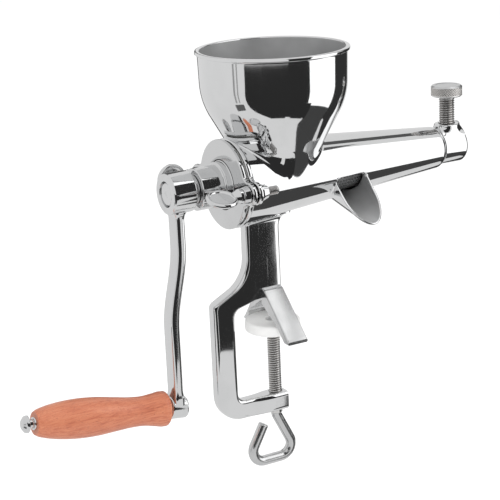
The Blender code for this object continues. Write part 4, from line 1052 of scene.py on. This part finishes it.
def makeGrip():
    known = np.array((0.0, 0.01, 0.04, 0.10, 0.19, 0.28, 0.40, 0.55, 0.70, 0.84, 0.93, 0.985, 1.0))
    fullness = np.array((0.70, 0.84, 0.905, 0.85, 0.762, 0.772, 0.86, 0.975, 0.995, 0.905, 0.78, 0.65, 0.585))
    spots = np.concatenate([
        np.linspace(0, 0.06, 14)[:-1], np.linspace(0.06, 0.95, 110)[:-1], np.linspace(0.95, 1, 16),
    ])
    radius = grip["radius"] * smoothThrough(known, fullness, spots)
    height = grip["start"] + grip["length"] * spots
    skin = np.stack([radius, height], 1)
    bore = grip["bore"]
    ends = grip["start"], grip["start"] + grip["length"]
    top = np.array([(radius[-1] * 0.85, ends[1]), (bore + 0.4, ends[1]), (bore, ends[1] - 0.5)])
    bottom = np.array([(bore, ends[0] + 0.5), (bore + 0.4, ends[0]), (radius[0] * 0.9, ends[0])])
    outline = np.vstack([skin, top, bottom])
    grid = revolve(outline[:, :1], outline[:, 1:], around(120), gripSpot)
    made = solid("wooden_grip_handle", [(grid, True, 0)], 50)
    dress(made, [gripWood], "grip", "grip_wood", "wooden_grip")

    stemEnd = ends[1] + grip["exposed"]
    stem, head = grip["stem"], grip["head"]
    start = -crank["bossLength"] / 2 - 0.6
    pin = turned([
        (0, stemEnd + 4.5, 0), (head * 0.55, stemEnd + 4.3, 1.0), (head * 0.95, stemEnd + 2.4, 2.0),
        (head, stemEnd + 0.2, 0.6), (head - 0.6, stemEnd, 0.2), (stem + 0.1, stemEnd, 0.3),
        (stem, stemEnd - 3.0, 0), (stem, start + 1.0, 0), (stem, start, 0.6), (0, start, 0),
    ], 96, gripSpot)
    cup = turned([
        (stem + 0.05, ends[1] - 1.0, 0), (4.6, ends[1] + 0.1, 0.3), (4.4, ends[1] + 1.3, 0.5),
        (stem + 0.05, ends[1] + 1.6, 0),
    ], 72, gripSpot)
    made = solid("grip_pin", [(pin, False, 0), (cup, True, 0)], 50)
    dress(made, [crankSteel], "crank", "polished_steel", "grip_spindle")

    low = crank["bossLength"] / 2 + 0.3
    washer = turned([
        (grip["bore"], low + 0.5, 0), (grip["bore"], low, 0.1), (6.45, low, 0.3), (6.45, low + 1.0, 0.3),
        (grip["bore"], low + 1.0, 0.1), (grip["bore"], low + 0.5, 0),
    ], 72, gripSpot)
    made = solid("grip_end_washer", [(washer, False, 0)], 50)
    dress(made, [smallSteel], "crank", "satin_steel", "grip_washer")


makeCrank()
makeGrip()
print("crank and grip made")


# ---- thumb screws, their loose collars and the weld nuts

thumb = {
    "stud": 3.0, "collar": 6.2, "shoulder": 5.2, "shoulderLength": 5.5, "paddle": 11.2, "half": 1.8,
    "dish": 1.1, "nut": 6.0, "pitch": 1.0, "thread": 0.55,
}


def makeThumbScrew(label, side, paddleTurn):
    spot = spotAt((0, side * earOffset, axisZ), (1, 0, 0), (0, 0, 1))
    low, high = boxOf("thumb_collar_" + label)
    outer, bore = thumb["collar"], thumb["stud"] + 0.3
    ring = turned([
        (bore, high[0] - 1.0, 0), (bore, high[0], 0.1), (outer, high[0], 0.5), (outer - 0.9, low[0], 0.7),
        (bore, low[0], 0.2), (bore, high[0] - 1.0, 0),
    ], 96, spot)
    made = solid("loose_collar_" + label, [(ring, False, 0)], 50)
    dress(made, [coverSteel], label + "_collar", "satin_steel", "thumb_collar_" + label)

    low, high = boxOf("weld_nut_" + label)
    outer = thumb["nut"]
    nut = turned([
        (bore, low[0] + 1.0, 0), (bore, low[0] - 0.6, 0), (outer, low[0] - 0.6, 0),
        (outer, low[0] + 1.6, 0.8), (outer - 1.5, high[0] - 0.4, 1.0), (outer - 2.1, high[0], 0.3),
        (bore, high[0], 0.2), (bore, low[0] + 1.0, 0),
    ], 96, spot)
    made = solid("weld_nut_cone_" + label, [(nut, False, 0)], 50)
    dress(made, [bodySteel], "mill_body", "satin_steel", "weld_nut_" + label)

    low, high = boxOf("thumb_screw_" + label)
    collarFront = boxOf("thumb_collar_" + label)[0][0]
    back = collarFront - 0.3
    front = back - thumb["shoulderLength"]
    stud, shoulder = thumb["stud"], thumb["shoulder"]
    count = 60
    head = softCorners([
        (0, front - 1.6, 0), (3.2, front - 1.5, 1.2), (4.3, front + 1.2, 2.0), (shoulder, front + 3.0, 0.8),
        (shoulder, back, 0.4), (stud, back, 0.2), (stud, back + 1.0, 0),
    ])
    shank = threaded(stud, back + 1.2, high[0] - 0.8, thumb["pitch"], thumb["thread"], count, 8)
    tip = softCorners([(stud - 0.1, high[0] - 0.7, 0), (stud - 0.7, high[0], 0.2), (0, high[0], 0)])
    stem = stacked([rowsOf(head, count), shank, rowsOf(tip, count)], spot)
    radius, half, dish = thumb["paddle"], thumb["half"], thumb["dish"]
    middle = front - radius + 1.6
    flat = (0, -math.sin(paddleTurn), math.cos(paddleTurn))
    centre = spotAt((middle, side * earOffset, axisZ), flat, (1, 0, 0))
    # a dished disc: flat web, then a round rim like a ring
    bend = np.linspace(-0.75, 1, 16) * quarterTurn
    rim = np.stack([radius - half + half * np.sin(bend), half * np.cos(bend)], 1)
    web = np.linspace(0, 1, 10)[:-1]
    dip = np.stack([web * rim[0, 0], (half - dish) + (rim[0, 1] - half + dish) * web ** 3], 1)
    face = np.vstack([dip, rim])
    outline = np.vstack([face, (face * (1, -1))[::-1][1:]])
    paddle = revolve(outline[:, :1], outline[:, 1:], around(128), centre)
    paint = np.zeros(len(stem) - 1, int)
    paint[len(head):] = 1
    onAxis = (0, side * earOffset, axisZ), (0.0, 1.0, 1.0)
    rolled = threadedSteel("rolled_stud_thread_" + label, *onAxis, stud, thumb["thread"])
    made = solid("thumb_screw_paddle_" + label, [(stem, False, paint), (paddle, False, 0)], 50)
    dress(made, [crankSteel, rolled], label + "_thumb_screw", "satin_steel", "thumb_screw_" + label)


makeThumbScrew("near", -1, math.radians(16.0))
makeThumbScrew("far", 1, math.radians(90.0))
print("thumb screws made")


# ---- clamp: forged frame, jaw feet, screw with its bent handle, pressure pad

clamp = {
    "half": 5.0, "edge": 3.0, "left": -21.5, "right": 6.3, "jaw": 26.0,
    "legOuter": -50.0, "legInner": -33.0, "armTop": -48.5, "armBottom": -62.5, "end": 6.9,
    "flare": 50.0, "lean": math.radians(62.0), "weld": 4.5, "boss": 7.2,
    "heel": 20.0, "widenFrom": -24.0, "widenLength": 20.0, "screwHole": 5.1, "flange": 8.0, "flangeDrop": 12.0,
}


def makeFrame():
    left, right, jaw = clamp["left"], clamp["right"], clamp["jaw"]
    shoulder = jaw + 16.0
    cornerZ = shoulder - (left - clamp["legOuter"]) / math.tan(clamp["lean"])
    top = axisZ - 22.0
    outer = softCorners([
        (left, top, 0), (left, shoulder, clamp["flare"]), (clamp["legOuter"], cornerZ, 3.3),
        (clamp["legOuter"], clamp["armBottom"], clamp["heel"]), (clamp["end"], clamp["armBottom"], 0),
    ], 24, 0.5)
    inner = softCorners([
        (right, top, 0), (right, jaw, 3.5), (left + 9.0, jaw, 4.0), (clamp["legInner"], jaw - 5.5, 8.0),
        (clamp["legInner"], clamp["armTop"], 6.0), (clamp["end"], clamp["armTop"], 0),
    ], 16, 0.5)

    def split(line, keys, counts):
        # resample a line so that it reaches each key point after the counted steps
        reach = np.concatenate([[0], np.cumsum(np.linalg.norm(np.diff(line, axis=0), axis=1))])
        marks = [reach[np.argmin(np.linalg.norm(line - np.array(key), axis=1))] for key in keys]
        spans = [np.linspace(a, b, n + 1)[:-1] for a, b, n in zip(marks, marks[1:], counts)]
        spots = np.concatenate(spans + [[marks[-1]]])
        return np.stack([np.interp(spots, reach, line[:, k]) for k in range(2)], 1)

    counts = (70, 30, 40, 60, 40, 60)
    outerKeys = [(left, top), (left, 58.0), (-31.0, 37.0), (-45.0, 29.5), (clamp["legOuter"], 15.0),
                 (-40.0, clamp["armBottom"] + 3.0), (clamp["end"], clamp["armBottom"])]
    innerKeys = [(right, top), (right, jaw + 4.0), (right - 4.0, jaw), (left + 9.0, jaw),
                 (clamp["legInner"], 14.0), (clamp["legInner"] + 2.0, clamp["armTop"] + 2.0),
                 (clamp["end"], clamp["armTop"])]
    a = split(outer, outerKeys, counts)
    b = split(inner, innerKeys, counts)
    half = np.full(len(a), clamp["half"])
    x = (a[:, 0] + b[:, 0]) / 2
    onArm = a[:, 1] < clamp["armTop"] - 2.0
    reached = np.clip((x - clamp["widenFrom"]) / clamp["widenLength"], 0, 1)
    half += np.where(onArm, (clamp["boss"] - clamp["half"]) * reached ** 2 * (3 - 2 * reached), 0)
    grid = ribbon(a, b, half, clamp["edge"], 0.0, crossSection, 16, 6)

    weld = clamp["weld"]
    across = clamp["half"] + weld * 0.5
    skin = axisZ - np.sqrt(np.maximum(barrelRadius(grid[..., 0]) ** 2 - across ** 2, 1.0))
    depth = np.clip((skin - grid[..., 2]) / weld, 0, 1)
    grid[..., 1] += np.sign(grid[..., 1]) * weld * (1 - depth) ** 3
    side = np.clip((grid[..., 0] - (left + right) / 2) / (right - left) * 2, -1, 1)
    upper = grid[..., 2] > 50.0
    rise = 1 - np.clip((skin - grid[..., 2]) / clamp["flangeDrop"], 0, 1)
    grid[..., 0] += np.where(upper & (side > 0), side * clamp["flange"] * rise ** 3, 0)
    made = solid("clamp_frame_forging", [(shut(grid), False, 0)], 45)
    ends = column([clamp["armBottom"] - 4.0, clamp["armTop"] + 4.0])
    tube = revolve(clamp["screwHole"], ends, around(64), standing())
    carve(made, solid("screw_hole_cutter", [(shut(tube), False, 0)]))
    dress(made, [frameSteel], "mill_body", "polished_steel", "clamp_frame")


foot = {"width": 16.0, "tip": 2.8, "landing": 6.0, "edge": 0.9, "padRadius": 20.2}


def makeFoot(label, side):
    low, high = boxOf("jaw_foot_" + label)
    middle = (low[0] + high[0]) / 2
    reach = max(abs(low[1]), abs(high[1]))
    root = clamp["half"] - 0.6
    topZ, lowZ = clamp["jaw"] + 8.0, clamp["jaw"] - 4.5
    knee = min(foot["padRadius"] + 4.0, reach - foot["landing"] - 1.5)
    upper = softCorners([
        (root, topZ, 0), (root + 3.5, topZ - 1.2, 5.0), (reach - 1.6, foot["tip"] + 1.0, 1.0),
        (reach, foot["tip"] - 0.6, 0),
    ], 8, 0.3)
    lower = softCorners([
        (root, lowZ, 0), (knee, 9.2, 4.0), (reach - foot["landing"], 0.0, 1.5), (reach, 0.0, 0),
    ], 8, 0.3)
    count = 90
    a = evenly(upper, 0.1)
    b = evenly(lower, 0.1)
    share = np.linspace(0, 1, count)
    a = np.stack([np.interp(share, np.linspace(0, 1, len(a)), a[:, k]) for k in range(2)], 1)
    b = np.stack([np.interp(share, np.linspace(0, 1, len(b)), b[:, k]) for k in range(2)], 1)
    half = foot["width"] / 2 * np.ones(count)
    outward, upward, sideways = np.array((0, float(side), 0)), np.array((0, 0, 1.0)), np.array((1.0, 0, 0))
    axes = (np.array((middle, 0, 0)), outward, upward, sideways)
    grid = shut(ribbon(a, b, half, foot["edge"], 0.0, axes, 10, 5))
    made = solid("jaw_foot_forging_" + label, [(grid, False, 0)], 40)
    dress(made, [footSteel], "mill_body", "polished_steel", "jaw_foot_" + label)


screw = {
    "radius": 4.8, "pitch": 1.75, "thread": 0.9, "hook": 3.8, "hookDepth": 36.0, "hookWidth": 44.0, "hole": 2.4,
}


def makeClampScrew():
    spot = standing()
    low, high = boxOf("clamp_screw")
    top = high[2]
    bottom = low[2] + screw["hook"] + screw["hookDepth"]
    count = 64
    radius = screw["radius"]
    crown = softCorners([
        (0, top - 9.0, 0), (screw["hole"], top - 9.0, 0), (screw["hole"], top, 0),
        (radius - 0.8, top, 0.2), (radius, top - 0.8, 0),
    ])
    shank = threaded(radius, top - 0.9, bottom + 3.0, screw["pitch"], screw["thread"], count, 8)
    end = softCorners([
        (radius, bottom + 2.8, 0), (radius, bottom + 0.6, 0.6), (radius - 1.0, bottom, 0.3), (0, bottom, 0),
    ])
    stem = stacked([rowsOf(crown, count), shank, rowsOf(end, count)], spot)
    half = screw["hookWidth"] / 2
    base = bottom - screw["hookDepth"]
    line = softCorners([
        (0, bottom + 3.0, 0), (0, bottom - 1.5, 5.0), (half - 5.0, base, 9.0), (-half - 5.0, base, 9.0),
        (-11.0, bottom - 7.0, 0),
    ], 24, 0.5)
    line = evenly(line, 0.8)
    path = np.stack([line[:, 0], 0 * line[:, 0], line[:, 1]], 1)
    reach = np.arange(len(path))[::-1] * 0.8
    thick = screw["hook"] - 0.7 * (1 - np.sqrt(1 - np.clip(1 - reach / 0.9, 0, 1) ** 2))
    hook = shut(swept(path, thick, 48, (0, 1, 0)))
    rolled = threadedSteel("rolled_clamp_thread", (0, 0, 0), (1.0, 1.0, 0.0), radius, screw["thread"])
    made = solid("clamp_screw_with_hook", [(stem, False, 0), (hook, False, 1)], 50)
    dress(made, [rolled, hookSteel], "clamp_screw", "satin_steel", "clamp_screw")


def makePad():
    spot = standing()
    low, high = boxOf("pressure_pad")
    radius = (high[0] - low[0]) / 2
    bottom, top = low[2], high[2]
    disc = turned([
        (5.5, top - 2.6, 0), (5.5, top, 0.3), (radius, top, 1.7), (radius, bottom, 1.5), (9.0, bottom, 0),
        (5.1, bottom, 0.3), (5.1, bottom + 3.2, 0), (2.4, bottom + 3.2, 0), (2.4, top - 2.6, 0),
        (5.5, top - 2.6, 0),
    ], 160, spot)
    made = solid("white_pressure_pad", [(disc, False, 0)], 50)
    dress(made, [padPlastic], "pad", "white_plastic", "pressure_pad")


makeFrame()
makeFoot("near", -1)
makeFoot("far", 1)
makeClampScrew()
makePad()
print("clamp made")


# ---- CAD nodes that stay, with better finishes

carriedOver = {
    "cover_gasket": pinkRubber, "outer_bush": bushBronze, "inner_bush": bushBronze, "shaft_seal": sealRubber,
    "thrust_washer": washerNylon, "strainer_ring": sieveSteel, "outlet_ring": sieveSteel,
    "pressure_plug": smallSteel, "pad_screw": smallSteel,
}
for nodeName, finish in carriedOver.items():
    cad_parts[nodeName].material_slots[0].material = finish


# ---- studio: pale floor, and a dome with cards that only mirrors can see

def glowing(name, strength):
    # a surface that gives out one grey and reflects nothing
    recipe = Recipe(name, roughness=1.0)
    recipe.shader.inputs["Base Color"].default_value = (0, 0, 0, 1)
    recipe.shader.inputs["Specular IOR Level"].default_value = 0.0
    recipe.shader.inputs["Emission Color"].default_value = (strength, strength, strength, 1)
    recipe.shader.inputs["Emission Strength"].default_value = 1.0
    return recipe.material


facing = math.radians(29.38)
camera = {
    "azimuth": facing, "elevation": math.radians(16.33), "roll": math.radians(-2.5),
    "aim": (-16.24, 0.0, 62.08), "distance": 1052.5, "lens": 106.8,
}
towardCamera = np.array((-math.sin(facing), -math.cos(facing)))
towardRight = np.array((math.cos(facing), -math.sin(facing)))


def studioCard(name, left, right, low, high, strength, radius=350.0, middle=(8.3, 0.0, 173.0)):
    # part of a sphere round the object: bearing (degrees right of the camera) and elevation,
    # point = middle + radius * (cos e * cos b * camera side + cos e * sin b * right + sin e * up)
    leftEdge, rightEdge = (np.atleast_1d(edge) * np.ones(max(2, np.size(edge))) for edge in (left, right))
    rise = np.radians(np.linspace(low, high, 15)).reshape(-1, 1)
    climb = np.linspace(0, 1, 15).reshape(-1, 1)
    start = np.interp(climb, np.linspace(0, 1, len(leftEdge)), leftEdge)
    end = np.interp(climb, np.linspace(0, 1, len(rightEdge)), rightEdge)
    bearing = np.radians(start + np.linspace(0, 1, 25)[None] * (end - start))
    flat = np.cos(bearing)[..., None] * towardCamera + np.sin(bearing)[..., None] * towardRight
    flat = flat * np.cos(rise)[..., None]
    height = np.broadcast_to(np.sin(rise), bearing.shape)[..., None]
    points = np.array(middle) + radius * np.concatenate([flat, height], -1)
    rows, columns = bearing.shape
    row = np.arange(rows - 1).reshape(-1, 1) * columns
    here = np.arange(columns - 1).reshape(1, -1) + row
    faces = np.stack([here, here + 1, here + columns + 1, here + columns], -1).reshape(-1, 4)
    mesh = bpy.data.meshes.new(name)
    mesh.from_pydata(points.reshape(-1, 3) * 0.001, [], faces)
    mesh.materials.append(glowing(name, strength))
    onlyInMirrors(placed(name, mesh))


def onlyInMirrors(made):
    made.visible_camera = False
    made.visible_shadow = False
    made.visible_diffuse = False


studio = {"floor": -190.0, "dome": 0.78, "black": 0.028, "white": 1.45}
black, white = studio["black"], studio["white"]
studioCard("dome_sides", -180, 180, -90, 90, studio["dome"], 4000.0)
studioCard("front_black_card", (-8, -22, -33, -39, -42, -43, -43, -42), 52, -50, -6, black)
studioCard("front_upper_card", (20, 20), (52, 61), -6, 47, black)
studioCard("column_card", 52, 58.4, -49, -27, black)
studioCard("low_right_card", 59, 110, -61, -32, 0.06, 600.0)
studioCard("white_box", 53, 103, -31.5, 41.5, white, 600.0)
studioCard("upper_white_box", 53, 112, 46, 61, white, 600.0)
studioCard("thin_dark_gap", 50, 112, 42, 45.5, 0.10, 600.0)
studioCard("back_right_card", 104, 152, -42, 8, 0.035, 600.0)
studioCard("back_right_strip", 123, 140, 8, 66, 0.10, 600.0)
studioCard("left_lamp_card", -66, -50, -36, -27, 0.12, 600.0)
studioCard("left_window_card", -63, -60, -25, -8, 0.35, 600.0)
studioCard("left_window_card_two", -57, -55, -25, -8, 0.35, 600.0)
studioCard("back_left_card", -172, -158, -40, 40, 0.10, 600.0)

armCard = bpy.data.meshes.new("crank_arm_card")
armCardCorners = ((-24, -85), (-4, -85), (-3, 64), (-20, 64))
armCard.from_pydata([(x * 0.001, -0.12, z * 0.001) for x, z in armCardCorners], [], [(0, 1, 2, 3)])
armCard.materials.append(glowing("crank_arm_card", 0.78))
onlyInMirrors(placed("crank_arm_card", armCard))

floorMesh = bpy.data.meshes.new("floor")
floorMesh.from_pydata([(-30, -30, 0), (30, -30, 0), (30, 30, 0), (-30, 30, 0)], [], [(0, 1, 2, 3)])
floorMesh.transform(Matrix.Translation((0, 0, studio["floor"] * 0.001)))
floorMaterial = Recipe("pale_floor", roughness=0.9)
floorMaterial.done(Base_Color=(0.93, 0.93, 0.93))
floorMaterial.shader.inputs["Specular IOR Level"].default_value = 0.0
floorMaterial.shader.inputs["Emission Color"].default_value = (1, 1, 1, 1)
floorMaterial.shader.inputs["Emission Strength"].default_value = 0.12
floorMesh.materials.append(floorMaterial.material)
floor = placed("floor", floorMesh)
floor.visible_glossy = False

world = bpy.data.worlds.new("studio_sky")
world.use_nodes = True
world.node_tree.nodes["Background"].inputs["Color"].default_value = (1, 1, 1, 1)
world.node_tree.nodes["Background"].inputs["Strength"].default_value = 0.95
bpy.context.scene.world = world

softLights = {
    "key_box": ((-0.9, -1.1, 1.5), 1.2, 12.0),
    "right_box": ((1.3, -0.7, 0.9), 0.9, 7.0),
}
for lightName, (spotPlace, size, power) in softLights.items():
    lamp = bpy.data.lights.new(lightName, "AREA")
    lamp.size = size
    lamp.energy = power
    holder = bpy.data.objects.new(lightName, lamp)
    holder.location = spotPlace
    aim = np.array(spotPlace) - np.array((0.03, 0, 0.05))
    tilt = math.acos(aim[2] / np.linalg.norm(aim))
    holder.rotation_euler = (tilt, 0, math.atan2(aim[1], aim[0]) + quarterTurn)
    holder.visible_glossy = False
    bpy.context.scene.collection.objects.link(holder)


# ---- camera

def makeCamera():
    azimuth, elevation, roll = camera["azimuth"], camera["elevation"], camera["roll"]
    ahead = math.cos(elevation)
    forward = np.array((math.sin(azimuth) * ahead, math.cos(azimuth) * ahead, -math.sin(elevation)))
    level = np.array((math.cos(azimuth), -math.sin(azimuth), 0))
    upright = np.cross(level, forward)
    right = math.cos(roll) * level + math.sin(roll) * upright
    up = math.cos(roll) * upright - math.sin(roll) * level
    place = np.array(camera["aim"]) - forward * camera["distance"]
    lens = bpy.data.cameras.new("studio_camera")
    lens.lens = camera["lens"]
    lens.sensor_width = 36.0
    lens.clip_end = 200.0
    view = bpy.data.objects.new("studio_camera", lens)
    rows = [[right[k], up[k], -forward[k], place[k] * 0.001] for k in range(3)] + [[0, 0, 0, 1]]
    view.matrix_world = Matrix(rows)
    bpy.context.scene.collection.objects.link(view)
    bpy.context.scene.camera = view


makeCamera()
print("studio ready")
